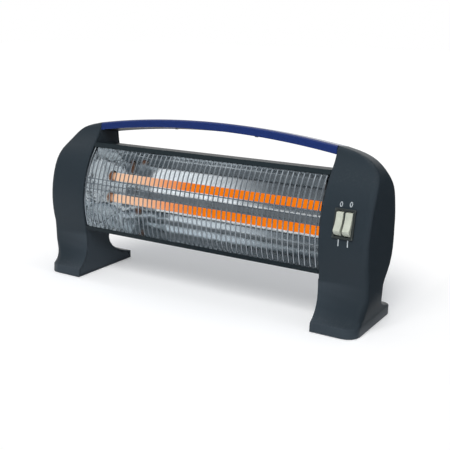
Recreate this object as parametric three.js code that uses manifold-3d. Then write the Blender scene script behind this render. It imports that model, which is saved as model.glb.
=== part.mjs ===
// Portable quartz heater: two glowing tubes, one above the other, in a polished reflector between two
// moulded end caps, with a bowed wire grille in front and an arched handle over the top.
// Millimetres. +X runs along the tubes to the right, +Y to the back, +Z up.
// The origin is on the floor, under the middle of the heater.

import * as THREE from 'three';
import { mergeVertices } from 'three/addons/utils/BufferGeometryUtils.js';
import Module from 'manifold-3d';

const wasm = await Module();
wasm.setup();

// ---------------------------------------------------------------- driving dimensions

const WIDTH = 486; // over both end caps
const HEIGHT = 226; // floor to the crown of the handle
const FOOT_DEPTH = 114; // each foot, front to back
const CAP_WIDTH = 62; // each end cap, inner face to outer face
const CLEARANCE = 0.3; // between pieces that touch

// the bow that the grille, the casing lips and the fronts of the caps share
const BOW_RADIUS = 128;
const BOW_REACH = 42; // how far its foremost point stands in front of the middle
const BOW_REACH_HEIGHT = 102; // height of that point
const BODY_LEAN = 8.5; // degrees that the top of the body falls towards the back

// end caps
const CAP_WALL = 2.5;
const PAD_PROUD = 0.8; // the rubber pads hold the caps this far off the floor
const LIP_HEIGHT = 11.5; // upright rim round the foot
const LIP_DRAFT = 1.2; // the front of the rim leans back by this much
const WAIST_FRONT = 37.5; // front of the waist, ahead of the middle
const WAIST_FRONT_HEIGHT = 46;
const WAIST_REAR = 9.5; // back of the waist, behind the middle, on the inner side
const WAIST_REAR_HEIGHT = 45;
const WAIST_SLANT = 11.6; // the outer side of the waist stands this much further back
const SLANT_FULL_HEIGHT = 36; // the slant grows up to here, and is gone again at its end
const SLANT_END_HEIGHT = 115;
const BELLY_REAR = 48.6; // rearmost point above the waist
const BELLY_REAR_HEIGHT = 122;
const BOW_START_HEIGHT = 70; // where the front joins the bow above the waist
const TOP_STEEP = 29; // height of the steeper stretch between the bow and the top
const TOP_FRONT = 2.6; // top of the cap, front edge
const TOP_REAR = 38.5; // top of the cap, back edge
const TOP_TILT = 10.5; // degrees that the top falls towards the back
const TOP_FALL = 3.5; // and how much it falls below the arch at the outer side
const LEAN_HEIGHT = 62; // the part of the cap, down from its top, that follows the tilt of the top
const FRONT_CORNER = 7; // plan radius of the outer corners
const REAR_CORNER = 10;
const FOOT_FRONT_CORNER = 16; // and at the floor
const FOOT_REAR_CORNER = 12;
const FOOT_DRAFT = 5; // the outer side stands in by this much at the floor
const SIDE_TAPER = 1.5; // and by this much at the back
const SHOULDER = { reach: 50, drop: 70, fullness: 3 }; // outer top corner, seen from the front
const TOP_FRONT_RADIUS = 4;
const TOP_REAR_RADIUS = 6;
const COVER_THICKNESS = 2.5;
const COVER_FIT = 0.5; // gap round the edge of each inner cover

// handle
const HANDLE_RADIUS = 1176; // of the arch
const HANDLE_DEPTH = 36;
const HANDLE_THICKNESS = 10.9;
const HANDLE_WALL = 2.5;
const HANDLE_SET_BACK = 3; // front edge of the handle, behind the middle
const HANDLE_FRONT_EDGE = 3.5; // rounding of its upper edges
const HANDLE_REAR_EDGE = 6;
const LINER_THICKNESS = 2.5;
const TONGUE_WIDTH = 18;
const TONGUE_REACH = 16; // how far the liner's tongues enter the caps
const LINER_SCREW_X = 62;

// casing and reflector
const CASING_SHEET = 1;
const CASING_FLANGE = 11; // turned in at each end for the screws
const BOTTOM_EDGE = 65.8; // lower front edge of the casing
const HAND_SPACE = 26.8; // from the tops of the caps down to its upper front edge
const LIP_LOWER = 5.8; // height of the lip below the grille
const LIP_UPPER = 5; // height of the lip above the grille
const CASING_REAR = 44.5;
const VENT = { width: 4, length: 23, pitch: 24, count: 13, fromMiddle: 26.5 }; // two rows of upright slots
const REFLECTOR_SHEET = 0.8;
const REFLECTOR_REAR = 37;
const REFLECTOR_FLAT = 12; // height of the flat stretch behind the tubes
const REFLECTOR_END_INSET = 9; // from the cap to the polished end plate, at the tubes
const REFLECTOR_END_FLARE = 0.16; // how far it leans out to the cap, for each step to the front
const END_SLOT_GAP = 0.5; // round each ceramic in the end plates

// grille
const WIRE = 1.7;
const WIRE_COUNT = 50;
const RAIL = 2.2; // upper and lower edge rails
const GRILLE_FRONT_INSET = 0.2; // behind the bow, at mid height
const GRILLE_END_INSET = 1.7; // behind the bow, under the lips
const GRILLE_LOOSE = 0.8; // play above and below it, inside the casing
const CROSS_WIRE = 1.4;
const CROSS_WIRE_SPACING = 6.8; // between the three cross wires
const CROSS_WIRE_RAISE = 7.3; // the middle one above the middle of the body

// tubes and their holders
const TUBE_DIAMETER = 11.5;
const TUBE_WALL = 1;
const TUBE_OVERLAP = 12; // each end of a tube enters its ceramic by this much
const TUBE_SPACING = 29.8; // between the two tubes, in height
const TUBES_BELOW = 6.4; // their mean height, below the middle of the body
const LOWER_TUBE_Y = 7.2;
const UPPER_TUBE_Y = 12.7;
const CERAMIC_DIAMETER = 16;
const CERAMIC_COLLAR = 20;
const CERAMIC_LENGTH = 23;
const COLLAR_THICKNESS = 2.5;
const CERAMIC_TAIL = 9; // beyond the collar, into the cap
const LEAD_HOLE = 3.2;
const BRACKET_THICKNESS = 1.2;
const BRACKET_MARGIN = 12; // its edge, from the middle of each tube
const BRACKET_ARM = 5; // and from the screws behind
const COIL_END_GAP = 8; // plain tube beyond each end of the wound element

// rocker switches
const SWITCH_INWARD = 0.3; // from the middle of the cap
const SWITCH_RAISE = 5.5; // above the middle of the body
const FLANGE = { width: 25.5, length: 34.5, thickness: 2 };
const FLANGE_SINK = 0.8; // the flange's back below the cap's surface at its middle
const HOUSING = { width: 22.4, length: 31.6, depth: 16 };
const ROCKER_WIDTH = 8.6;
const ROCKER_SPACING = 11.2; // between the middles of the two rockers
const ROCKER_END_RADIUS = 14.2; // of its ends, about the pivot
const ROCKER_END_TURN = 42; // degrees that each end runs round in front of the pivot
const ROCKER_HOLLOW = 2.3; // depth of the hollow between the two ends
const ROCKER_PIVOT_DEPTH = 4; // below the cap's surface
const ROCKER_SKIRT = 2.5; // below the pivot
const ROCKER_TILT = 12; // degrees each way from level
const PIVOT_DIAMETER = 3;
const BAY_DEPTH = 12;
const BLADE = { width: 6.3, thickness: 0.8, length: 9, spacing: 12 };

// fittings inside the right cap
const GLAND_BELOW = 21.5; // below the middle of the body
const GLAND_FLANGE = 18;
const GLAND_NECK = 12;
const GLAND_BORE = 7.2;
const CUTOUT = { diameter: 16, depth: 7, y: -16, below: 7.5 };
const TERMINAL_BLOCK = { width: 14, depth: 22, height: 14, y: 2, z: 58 };
const TIP_SWITCH = { width: 20, depth: 20, height: 23, y: -8 };
const WIRE_LEAD = 2.4;

// fasteners and pads
const SCREW = { shank: 2.9, head: 5.6, headHeight: 1.5, length: 8, shortLength: 6 };
const BOSS_DIAMETER = 8;
const COVER_SCREW_FRONT_INSET = 19.1; // the front one of the lower two, behind the bow
const COVER_SCREW_REAR_INSET = 20.6; // the rear one, in front of the back of the casing
const COVER_SCREW_TOP_INSET = 23.7; // the upper one, behind the bow
const COVER_SCREWS_BELOW = 38.5; // the lower two, below the middle of the body
const COVER_SCREW_DROP = 44; // the upper one, below the top of the cap
const CASING_SCREW_INSET = 8.5; // from the back of the casing
const CASING_SCREW_SPREAD = 26; // above and below the middle of the body
const PAD = { diameter: 14, thickness: 2, inset: 15.25 };

// ---------------------------------------------------------------- places worked out from them

const INNER_X = WIDTH / 2 - CAP_WIDTH;
const OUTER_X = WIDTH / 2;
const BODY_END = INNER_X - CLEARANCE;
const CAP_TOP = HEIGHT - archDrop(INNER_X);
const TOP_EDGE = CAP_TOP - HAND_SPACE;
const BODY_MIDDLE = (BOTTOM_EDGE + TOP_EDGE) / 2;
const LOWER_TUBE = { y: LOWER_TUBE_Y, z: BODY_MIDDLE - TUBES_BELOW - TUBE_SPACING / 2 };
const UPPER_TUBE = { y: UPPER_TUBE_Y, z: BODY_MIDDLE - TUBES_BELOW + TUBE_SPACING / 2 };
const SWITCH_HEIGHT = BODY_MIDDLE + SWITCH_RAISE;
const GLAND_HEIGHT = BODY_MIDDLE - GLAND_BELOW;
const COVER_OUTSIDE = INNER_X + COVER_THICKNESS;
const CAP_MIDDLE = INNER_X + CAP_WIDTH / 2;
const END_PLATE_X = INNER_X - REFLECTOR_END_INSET;
const COLLAR_X = COVER_OUTSIDE + CLEARANCE + BRACKET_THICKNESS + CLEARANCE;
const CERAMIC_END = COLLAR_X + COLLAR_THICKNESS + CERAMIC_TAIL;
const TUBE_END = CERAMIC_END - CERAMIC_LENGTH + TUBE_OVERLAP;
const GRILLE_LOW = BOTTOM_EDGE + CASING_SHEET + GRILLE_LOOSE;
const GRILLE_HIGH = TOP_EDGE - CASING_SHEET - GRILLE_LOOSE;

// Drop of the arch below its crown, at a distance from the middle.
function archDrop(x) {
  return HANDLE_RADIUS - Math.sqrt(HANDLE_RADIUS ** 2 - x * x);
}

// Front-to-back place of the shared bow at a height.
function bowAt(z) {
  return BOW_RADIUS - BOW_REACH - Math.sqrt(BOW_RADIUS ** 2 - (z - BOW_REACH_HEIGHT) ** 2);
}

const radians = THREE.MathUtils.degToRad;

// ---------------------------------------------------------------- materials

function finish(color, roughness, metalness = 0) {
  return new THREE.MeshStandardMaterial({ color, roughness, metalness });
}

const CAP_PLASTIC = finish(0x30383e, 0.5);
const HANDLE_PLASTIC = finish(0x1e3070, 0.35);
const DARK_PLASTIC = finish(0x23282b, 0.55);
const ROCKER_PLASTIC = finish(0xb9beaf, 0.4);
const PAINTED_STEEL = finish(0x2b3436, 0.45, 0.3);
const POLISHED_ALUMINIUM = finish(0xd4d8da, 0.15, 1);
const BRIGHT_WIRE = finish(0xa9b4bc, 0.25, 1);
const ZINC_STEEL = finish(0x9a9fa3, 0.4, 1);
const QUARTZ = finish(0xf6b27a, 0.3);
const GLOWING_WIRE = finish(0xf07814, 0.6);
const CERAMIC = finish(0xe6e1d6, 0.7);
const RUBBER = finish(0x1b1c1d, 0.9);
const BRASS = finish(0xb89a52, 0.35, 1);
const LEAD_SLEEVE = finish(0xe2e0da, 0.8);

// ---------------------------------------------------------------- geometry helpers

// Gives a geometry its plain closed form: shared corners merged, positions only.
function bare(geometry) {
  const copy = geometry.clone();
  copy.deleteAttribute('normal');
  copy.deleteAttribute('uv');
  return mergeVertices(copy, 1e-4);
}

function solid(geometry) {
  const merged = bare(geometry);
  return new wasm.Manifold(new wasm.Mesh({
    numProp: 3,
    vertProperties: merged.getAttribute('position').array,
    triVerts: merged.index.array,
  }));
}

function geometryOf(body) {
  const mesh = body.getMesh();
  const geometry = new THREE.BufferGeometry();
  geometry.setAttribute('position', new THREE.BufferAttribute(mesh.vertProperties, 3));
  geometry.setIndex(new THREE.BufferAttribute(mesh.triVerts, 1));
  geometry.computeVertexNormals();
  return geometry;
}

// Cuts a list of tools out of a geometry, and joins a list of bosses on before that.
function carved(geometry, tools, bosses = []) {
  let body = solid(geometry);
  for (const boss of bosses) body = body.add(solid(boss));
  for (const tool of tools) body = body.subtract(solid(tool));
  return geometryOf(body);
}

// The same piece for the other end of the heater.
function mirrored(geometry) {
  const copy = bare(geometry).scale(-1, 1, 1);
  const index = copy.index.array;
  for (let i = 0; i < index.length; i += 3) {
    [index[i], index[i + 1]] = [index[i + 1], index[i]];
  }
  copy.computeVertexNormals();
  return copy;
}

// Skins a stack of equal loops into a closed body. The lids are flattened by dropping one axis.
function skin(loops, dropped) {
  const count = loops[0].length;
  const positions = loops.flat().flatMap((point) => point.toArray());
  const index = [];
  for (let i = 0; i + 1 < loops.length; i += 1) {
    for (let j = 0; j < count; j += 1) {
      const a = i * count + j;
      const b = i * count + ((j + 1) % count);
      index.push(a, b, b + count, a, b + count, a + count);
    }
  }
  const [u, v] = ['x', 'y', 'z'].filter((axis) => axis !== dropped);
  for (const [row, reversed] of [[0, true], [loops.length - 1, false]]) {
    const flat = loops[row].map((point) => new THREE.Vector2(point[u], point[v]));
    const clockwise = THREE.ShapeUtils.isClockWise(flat);
    const order = flat.map((_, j) => (clockwise ? count - 1 - j : j));
    const lid = THREE.ShapeUtils.triangulateShape(order.map((j) => flat[j]), []);
    for (const face of lid) {
      const [a, b, c] = face.map((j) => row * count + order[j]);
      if (clockwise === reversed) index.push(a, b, c);
      else index.push(a, c, b);
    }
  }
  return outward(positions, index);
}

// Turns every face outwards by the sign of the enclosed volume.
function outward(positions, index) {
  const at = (i) => new THREE.Vector3().fromArray(positions, 3 * i);
  let volume = 0;
  for (let i = 0; i < index.length; i += 3) {
    volume += at(index[i]).dot(at(index[i + 1]).cross(at(index[i + 2])));
  }
  if (volume < 0) index.reverse();
  const geometry = new THREE.BufferGeometry();
  geometry.setAttribute('position', new THREE.Float32BufferAttribute(positions, 3));
  geometry.setIndex(index);
  geometry.computeVertexNormals();
  return geometry;
}

function box(x0, x1, y0, y1, z0, z1) {
  return new THREE.BoxGeometry(x1 - x0, y1 - y0, z1 - z0)
    .translate((x0 + x1) / 2, (y0 + y1) / 2, (z0 + z1) / 2);
}

// A round bar along X.
function barX(diameter, x0, x1, y, z, sides = 12) {
  return new THREE.CylinderGeometry(diameter / 2, diameter / 2, x1 - x0, sides)
    .rotateZ(Math.PI / 2)
    .translate((x0 + x1) / 2, y, z);
}

// A round bar along Z.
function barZ(diameter, z0, z1, x, y, sides = 12) {
  return new THREE.CylinderGeometry(diameter / 2, diameter / 2, z1 - z0, sides)
    .rotateX(Math.PI / 2)
    .translate(x, y, (z0 + z1) / 2);
}

// A flat shape in the side view, given as [y, z] points, made solid from x0 to x1.
function sideExtrusion(points, x0, x1) {
  const shape = new THREE.Shape(points.map(([y, z]) => new THREE.Vector2(y, z)));
  const toSideView = new THREE.Matrix4().makeBasis(
    new THREE.Vector3(0, 1, 0),
    new THREE.Vector3(0, 0, 1),
    new THREE.Vector3(1, 0, 0),
  );
  return new THREE.ExtrudeGeometry(shape, { depth: x1 - x0, bevelEnabled: false })
    .applyMatrix4(toSideView)
    .translate(x0, 0, 0);
}

// A body of revolution from [radius, distance] points, with its axis turned along +X.
function turnedX(profile, sides) {
  const points = profile.map(([radius, along]) => new THREE.Vector2(radius, along));
  const lathe = bare(new THREE.LatheGeometry(points, sides)).rotateZ(-Math.PI / 2);
  return outward([...lathe.getAttribute('position').array], [...lathe.index.array]);
}

// Moves a line of [y, z] points sideways, to its right when the distance is positive.
function offsetLine(points, distance) {
  return points.map(([y, z], i) => {
    const before = points[Math.max(i - 1, 0)];
    const after = points[Math.min(i + 1, points.length - 1)];
    const into = new THREE.Vector2(y - before[0], z - before[1]).normalize();
    const outOf = new THREE.Vector2(after[0] - y, after[1] - z).normalize();
    const normal = new THREE.Vector2(into.y + outOf.y, -into.x - outOf.x).normalize();
    const line = into.lengthSq() > 0 ? into : outOf;
    const reach = distance / (normal.x * line.y - normal.y * line.x);
    return [y + normal.x * reach, z + normal.y * reach];
  });
}

// A sheet of even thickness along a line of [y, z] points.
function bentSheet(points, thickness, x0, x1) {
  const far = offsetLine(points, thickness).reverse();
  return sideExtrusion([...points, ...far], x0, x1);
}

// Points of a THREE.Path as [y, z] pairs, with doubled ones left out.
function pathPoints(path, divisions) {
  const points = path.getPoints(divisions).map((point) => [point.x, point.y]);
  return points.filter(([y, z], i) => i === 0
    || Math.hypot(y - points[i - 1][0], z - points[i - 1][1]) > 0.05);
}

// Reads a climbing outline at a height.
function readAt(outline, z) {
  const i = Math.max(1, outline.findIndex((point) => point[1] >= z));
  const [y0, z0] = outline[i - 1];
  const [y1, z1] = outline[i];
  return y0 + ((y1 - y0) * (z - z0)) / (z1 - z0);
}

// ---------------------------------------------------------------- side outline of the caps

function capFrontLine() {
  const path = new THREE.Path();
  const centreY = BOW_RADIUS - BOW_REACH;
  const bowEnd = CAP_TOP - TOP_STEEP;
  const angleAt = (z) => Math.PI - Math.asin((z - BOW_REACH_HEIGHT) / BOW_RADIUS);
  const ease = (WAIST_FRONT_HEIGHT + BOW_START_HEIGHT) / 2;
  path.moveTo(-FOOT_DEPTH / 2, PAD_PROUD);
  path.lineTo(-FOOT_DEPTH / 2 + LIP_DRAFT, LIP_HEIGHT);
  path.quadraticCurveTo(-WAIST_FRONT, WAIST_FRONT_HEIGHT / 2, -WAIST_FRONT, WAIST_FRONT_HEIGHT);
  path.quadraticCurveTo(-WAIST_FRONT, ease, bowAt(BOW_START_HEIGHT), BOW_START_HEIGHT);
  path.absarc(centreY, BOW_REACH_HEIGHT, BOW_RADIUS, angleAt(BOW_START_HEIGHT), angleAt(bowEnd), true);
  path.quadraticCurveTo(TOP_FRONT - TOP_STEEP / 6, bowEnd + TOP_STEEP * 0.38, TOP_FRONT, CAP_TOP);
  return pathPoints(path, 10);
}

function capRearLine() {
  const path = new THREE.Path();
  path.moveTo(FOOT_DEPTH / 2, PAD_PROUD);
  path.lineTo(FOOT_DEPTH / 2, LIP_HEIGHT);
  path.quadraticCurveTo(WAIST_REAR, WAIST_REAR_HEIGHT / 2, WAIST_REAR, WAIST_REAR_HEIGHT);
  const climb = BELLY_REAR_HEIGHT - WAIST_REAR_HEIGHT;
  path.bezierCurveTo(
    WAIST_REAR, WAIST_REAR_HEIGHT + climb / 5,
    BELLY_REAR, BELLY_REAR_HEIGHT - climb * 0.75,
    BELLY_REAR, BELLY_REAR_HEIGHT,
  );
  const upper = CAP_TOP - BELLY_REAR_HEIGHT;
  path.bezierCurveTo(
    BELLY_REAR, BELLY_REAR_HEIGHT + upper / 4,
    TOP_REAR, CAP_TOP - upper / 2,
    TOP_REAR, CAP_TOP,
  );
  return pathPoints(path, 12);
}

const CAP_FRONT_LINE = capFrontLine();
const CAP_REAR_LINE = capRearLine();

// The two outlines moved inwards, for the hollow and for the cover.
function insetLines(distance) {
  return { front: offsetLine(CAP_FRONT_LINE, distance), rear: offsetLine(CAP_REAR_LINE, -distance) };
}

const CAP_OUTSIDE = insetLines(0);
const CAP_INSIDE = insetLines(CAP_WALL);
const COVER_EDGE = insetLines(CAP_WALL + COVER_FIT);

// How far a corner of a given radius has pulled in, within that radius of the top.
function roundedOff(height, top, radius) {
  const into = height - (top - radius);
  return into > 0 ? radius - Math.sqrt(Math.max(0, radius ** 2 - into ** 2)) : 0;
}

// How far the shoulder has pulled in, over its drop below the top.
function shoulderAt(height, top, inset) {
  const into = (height - (top - SHOULDER.drop + inset)) / (SHOULDER.drop - inset);
  const left = 1 - THREE.MathUtils.clamp(into, 0, 1) ** SHOULDER.fullness;
  return (SHOULDER.reach - inset) * (1 - left ** (1 / SHOULDER.fullness));
}

// Lowers the upper part of a cap, so that its top carries on the handle's arch and backward tilt.
function leaned(x, y, height, top) {
  const share = THREE.MathUtils.smoothstep(height, CAP_TOP - LEAN_HEIGHT, top);
  const arch = archDrop(x) - archDrop(INNER_X) + (TOP_FALL * (x - INNER_X)) / CAP_WIDTH;
  const tilt = (y - HANDLE_SET_BACK) * Math.tan(radians(TOP_TILT));
  return new THREE.Vector3(x, y, height - share * (arch + tilt));
}

// A quarter circle of a corner in plan, about its centre, from one angle to the next.
function corner(x, y, radius, from) {
  const steps = 4;
  return Array.from({ length: steps + 1 }, (_, i) => {
    const turn = from + (Math.PI / 2) * (i / steps);
    return [x + radius * Math.cos(turn), y + radius * Math.sin(turn)];
  });
}

// One level loop of the right cap, set in from the outside by a wall.
function capLoop(height, lines, inset, innerX) {
  const { smoothstep, lerp } = THREE.MathUtils;
  const top = CAP_TOP - inset;
  const onFoot = 1 - smoothstep(height, LIP_HEIGHT, WAIST_FRONT_HEIGHT);
  const slant = WAIST_SLANT * smoothstep(height, LIP_HEIGHT, SLANT_FULL_HEIGHT)
    * (1 - smoothstep(height, WAIST_REAR_HEIGHT, SLANT_END_HEIGHT));
  const front = readAt(lines.front, height) + roundedOff(height, top, Math.max(TOP_FRONT_RADIUS - inset, 0.5));
  const rear = readAt(lines.rear, height) - roundedOff(height, top, Math.max(TOP_REAR_RADIUS - inset, 0.5));
  const outer = OUTER_X - inset - FOOT_DRAFT * onFoot - shoulderAt(height, top, inset);
  const frontRadius = Math.max(lerp(FRONT_CORNER, FOOT_FRONT_CORNER, onFoot) - inset, 0.6);
  const rearRadius = Math.max(lerp(REAR_CORNER, FOOT_REAR_CORNER, onFoot) - inset, 0.6);
  const rearOuter = outer - SIDE_TAPER;
  const rearAt = (x) => rear + (slant * (x - INNER_X)) / CAP_WIDTH;
  const points = [
    [innerX, front],
    ...corner(outer - frontRadius, front + frontRadius, frontRadius, -Math.PI / 2),
    ...corner(rearOuter - rearRadius, rearAt(rearOuter) - rearRadius, rearRadius, 0),
    [innerX, rearAt(innerX)],
  ];
  return points.map(([x, y]) => leaned(x, y, height, top));
}

// The levels of the loops: close together where the outline turns, even between the waist and the shoulder.
const WAIST_LEVELS = [1.5, 4, 7.5, 12, 17.5, 24.5, 32, 38, 44, 50.5].map((above) => LIP_HEIGHT + above);
const TOP_LEVELS = [35, 26, 19, 13, 8.5, 5, 2.5, 0.8, 0.2, 0].map((below) => CAP_TOP - below);
const BELLY_LEVELS = Array.from({ length: 12 }, (_, i) => (
  THREE.MathUtils.lerp(WAIST_LEVELS[WAIST_LEVELS.length - 1], TOP_LEVELS[0], (i + 1) / 13)
));
const CAP_LEVELS = [PAD_PROUD, LIP_HEIGHT, ...WAIST_LEVELS, ...BELLY_LEVELS, ...TOP_LEVELS];

function capBody() {
  return skin(CAP_LEVELS.map((height) => capLoop(height, CAP_OUTSIDE, 0, INNER_X)), 'z');
}

const HOLLOW_FLOOR = PAD_PROUD + CAP_WALL;
const HOLLOW_TOP = CAP_TOP - CAP_WALL;
const HOLLOW_LEVELS = [
  HOLLOW_FLOOR, LIP_HEIGHT - 1.5, LIP_HEIGHT + 1.5,
  ...CAP_LEVELS.filter((height, i) => i % 2 === 0 && height > LIP_HEIGHT + 3 && height < HOLLOW_TOP - 1),
  HOLLOW_TOP,
];

// The hollow of the cap, which runs out through its inner side.
function capHollow() {
  return skin(HOLLOW_LEVELS.map((height) => capLoop(height, CAP_INSIDE, CAP_WALL, INNER_X - 1)), 'z');
}

// ---------------------------------------------------------------- places of the repeated fittings

const HANDLE_TILT = radians(TOP_TILT);

// A point of the handle's cross-section: back along its depth, down from its top.
function handlePoint(x, back, down) {
  const crown = HEIGHT - archDrop(x);
  return new THREE.Vector3(
    x,
    HANDLE_SET_BACK + back * Math.cos(HANDLE_TILT) - down * Math.sin(HANDLE_TILT),
    crown - back * Math.sin(HANDLE_TILT) - down * Math.cos(HANDLE_TILT),
  );
}

const LINER_DOWN = HANDLE_THICKNESS - LINER_THICKNESS - 0.5;
const TONGUE_BACK = (HANDLE_DEPTH - TONGUE_WIDTH) / 2;

// A bar of the handle's own cross-section frame, between two distances from the middle.
function handleBar(x0, x1, back0, back1, down0, down1, steps) {
  const loops = [];
  for (let i = 0; i <= steps; i += 1) {
    const x = THREE.MathUtils.lerp(x0, x1, i / steps);
    loops.push([
      handlePoint(x, back0, down0), handlePoint(x, back1, down0),
      handlePoint(x, back1, down1), handlePoint(x, back0, down1),
    ]);
  }
  return skin(loops, 'x');
}

const TONGUE_SCREW_X = INNER_X + TONGUE_REACH / 2 + 1.5;

// Sets a piece made along +Z square to the underside of the arch, its zero at a depth below the top.
function squareToHandle(geometry, x, down) {
  const middle = handlePoint(x, HANDLE_DEPTH / 2, down);
  return geometry
    .rotateX(-HANDLE_TILT)
    .rotateY(Math.asin(x / HANDLE_RADIUS))
    .translate(middle.x, middle.y, middle.z);
}

function linerScrewHole(x) {
  return squareToHandle(barZ(SCREW.shank + 2 * CLEARANCE, -5, 5, 0, 0, 8), x, LINER_DOWN + 1);
}

function linerScrewBoss(x, height) {
  return squareToHandle(barZ(BOSS_DIAMETER, CLEARANCE, height, 0, 0), x, LINER_DOWN);
}

// The slot that a tongue passes, a clearance larger all round.
function tongueSlot() {
  return handleBar(
    INNER_X - 1, INNER_X + TONGUE_REACH + 1,
    TONGUE_BACK - CLEARANCE, TONGUE_BACK + TONGUE_WIDTH + CLEARANCE,
    LINER_DOWN - CLEARANCE, LINER_DOWN + LINER_THICKNESS + CLEARANCE, 1,
  );
}

// The frame of the cap's front face where the switches sit: x right, y into the cap, z up the face.
const SWITCH_TILT = Math.asin((SWITCH_HEIGHT - BOW_REACH_HEIGHT) / BOW_RADIUS);
const SWITCH_FRAME = new THREE.Group();
SWITCH_FRAME.position.set(CAP_MIDDLE - SWITCH_INWARD, bowAt(SWITCH_HEIGHT), SWITCH_HEIGHT);
SWITCH_FRAME.rotation.x = -SWITCH_TILT;
SWITCH_FRAME.updateMatrixWorld(true);

// The frame of the cap's back where the mains lead enters: y points out of the cap.
function capBackAt(height) {
  const loop = capLoop(height, CAP_OUTSIDE, 0, INNER_X);
  const [last, before] = [loop[loop.length - 1], loop[loop.length - 2]];
  return THREE.MathUtils.mapLinear(CAP_MIDDLE, last.x, before.x, last.y, before.y);
}

const GLAND_RISE = GLAND_FLANGE / 3;
const GLAND_SLOPE = Math.atan(
  (capBackAt(GLAND_HEIGHT + GLAND_RISE) - capBackAt(GLAND_HEIGHT - GLAND_RISE)) / (2 * GLAND_RISE),
);
const GLAND_FRAME = new THREE.Group();
GLAND_FRAME.position.set(CAP_MIDDLE, capBackAt(GLAND_HEIGHT), GLAND_HEIGHT);
GLAND_FRAME.rotation.x = -GLAND_SLOPE;
GLAND_FRAME.updateMatrixWorld(true);

// ---------------------------------------------------------------- end caps and inner covers

const COVER_SCREW_LOW = BODY_MIDDLE - COVER_SCREWS_BELOW;
const COVER_SCREW_HIGH = CAP_TOP - COVER_SCREW_DROP;
const COVER_SCREWS = [
  { y: bowAt(COVER_SCREW_LOW) + COVER_SCREW_FRONT_INSET, z: COVER_SCREW_LOW },
  { y: bowAt(COVER_SCREW_HIGH) + COVER_SCREW_TOP_INSET, z: COVER_SCREW_HIGH },
  { y: casingBackAt(COVER_SCREW_LOW) - COVER_SCREW_REAR_INSET, z: COVER_SCREW_LOW },
];
const CASING_SCREWS = [1, -1].map((side) => {
  const z = BODY_MIDDLE + side * CASING_SCREW_SPREAD;
  return { y: casingBackAt(z) - CASING_SCREW_INSET, z };
});
const PAD_Y = FOOT_DEPTH / 2 - PAD.inset;

function coverScrewBoss({ y, z }) {
  return barX(BOSS_DIAMETER, COVER_OUTSIDE + CLEARANCE, OUTER_X - SIDE_TAPER - CAP_WALL / 2, y, z);
}

function coverScrewPilot({ y, z }) {
  const depth = SCREW.length + 1;
  return barX(SCREW.shank + 2 * CLEARANCE, COVER_OUTSIDE - 1, COVER_OUTSIDE + depth, y, z, 8);
}

function padRecess(y) {
  const across = PAD.diameter + 2 * CLEARANCE;
  return barZ(across, PAD_PROUD - 1, PAD.thickness + CLEARANCE, CAP_MIDDLE, y, 20);
}

function endShell(tools = []) {
  const hollow = carved(capBody(), [capHollow()]);
  const bosses = [...COVER_SCREWS.map(coverScrewBoss), linerScrewBoss(TONGUE_SCREW_X, LINER_DOWN - 1)];
  const cuts = [
    ...COVER_SCREWS.map(coverScrewPilot),
    padRecess(-PAD_Y),
    padRecess(PAD_Y),
    tongueSlot(),
    linerScrewHole(TONGUE_SCREW_X),
    ...tools,
  ];
  return carved(hollow, cuts, bosses);
}

// Switch opening: a shallow seat for the flange, and a hole for the housing behind it.
function switchCuts() {
  const seat = box(
    -FLANGE.width / 2 - CLEARANCE, FLANGE.width / 2 + CLEARANCE,
    -10, FLANGE_SINK + CLEARANCE,
    -FLANGE.length / 2 - CLEARANCE, FLANGE.length / 2 + CLEARANCE,
  );
  const hole = box(
    -HOUSING.width / 2 - CLEARANCE, HOUSING.width / 2 + CLEARANCE,
    -10, HOUSING.depth,
    -HOUSING.length / 2 - CLEARANCE, HOUSING.length / 2 + CLEARANCE,
  );
  return [seat, hole].map((cut) => cut.applyMatrix4(SWITCH_FRAME.matrixWorld));
}

function glandCut() {
  const hole = new THREE.CylinderGeometry(
    GLAND_NECK / 2 + CLEARANCE, GLAND_NECK / 2 + CLEARANCE, 4 * CAP_WALL, 16,
  );
  return hole.applyMatrix4(GLAND_FRAME.matrixWorld);
}

// The plate that closes a cap, let in between its walls.
function innerCover() {
  const lift = (height) => COVER_FIT * ((height === HOLLOW_FLOOR) - (height === HOLLOW_TOP));
  const ends = HOLLOW_LEVELS.map((height) => {
    const near = capLoop(height, COVER_EDGE, CAP_WALL, INNER_X);
    const far = capLoop(height, COVER_EDGE, CAP_WALL, COVER_OUTSIDE);
    return [0, near.length - 1].map((end) => [near[end].y, far[end].z + lift(height)]);
  });
  const outline = [...ends.map(([front]) => front), ...ends.map(([, rear]) => rear).reverse()];
  const plate = sideExtrusion(outline, INNER_X, COVER_OUTSIDE);
  const x0 = INNER_X - 1;
  const x1 = COVER_OUTSIDE + 1;
  const screwHole = ({ y, z }) => barX(SCREW.shank + 2 * CLEARANCE, x0, x1, y, z, 8);
  const window = ({ y, z }) => barX(CERAMIC_DIAMETER + 2, x0, x1, y, z, 20);
  return carved(plate, [
    ...COVER_SCREWS.map(screwHole),
    ...CASING_SCREWS.map(screwHole),
    window(LOWER_TUBE),
    window(UPPER_TUBE),
    tongueSlot(),
    barX(WIRE_LEAD + 0.8, x0, x1, RETURN_LEAD.y, RETURN_LEAD.z, 8),
  ]);
}

// ---------------------------------------------------------------- handle

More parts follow.
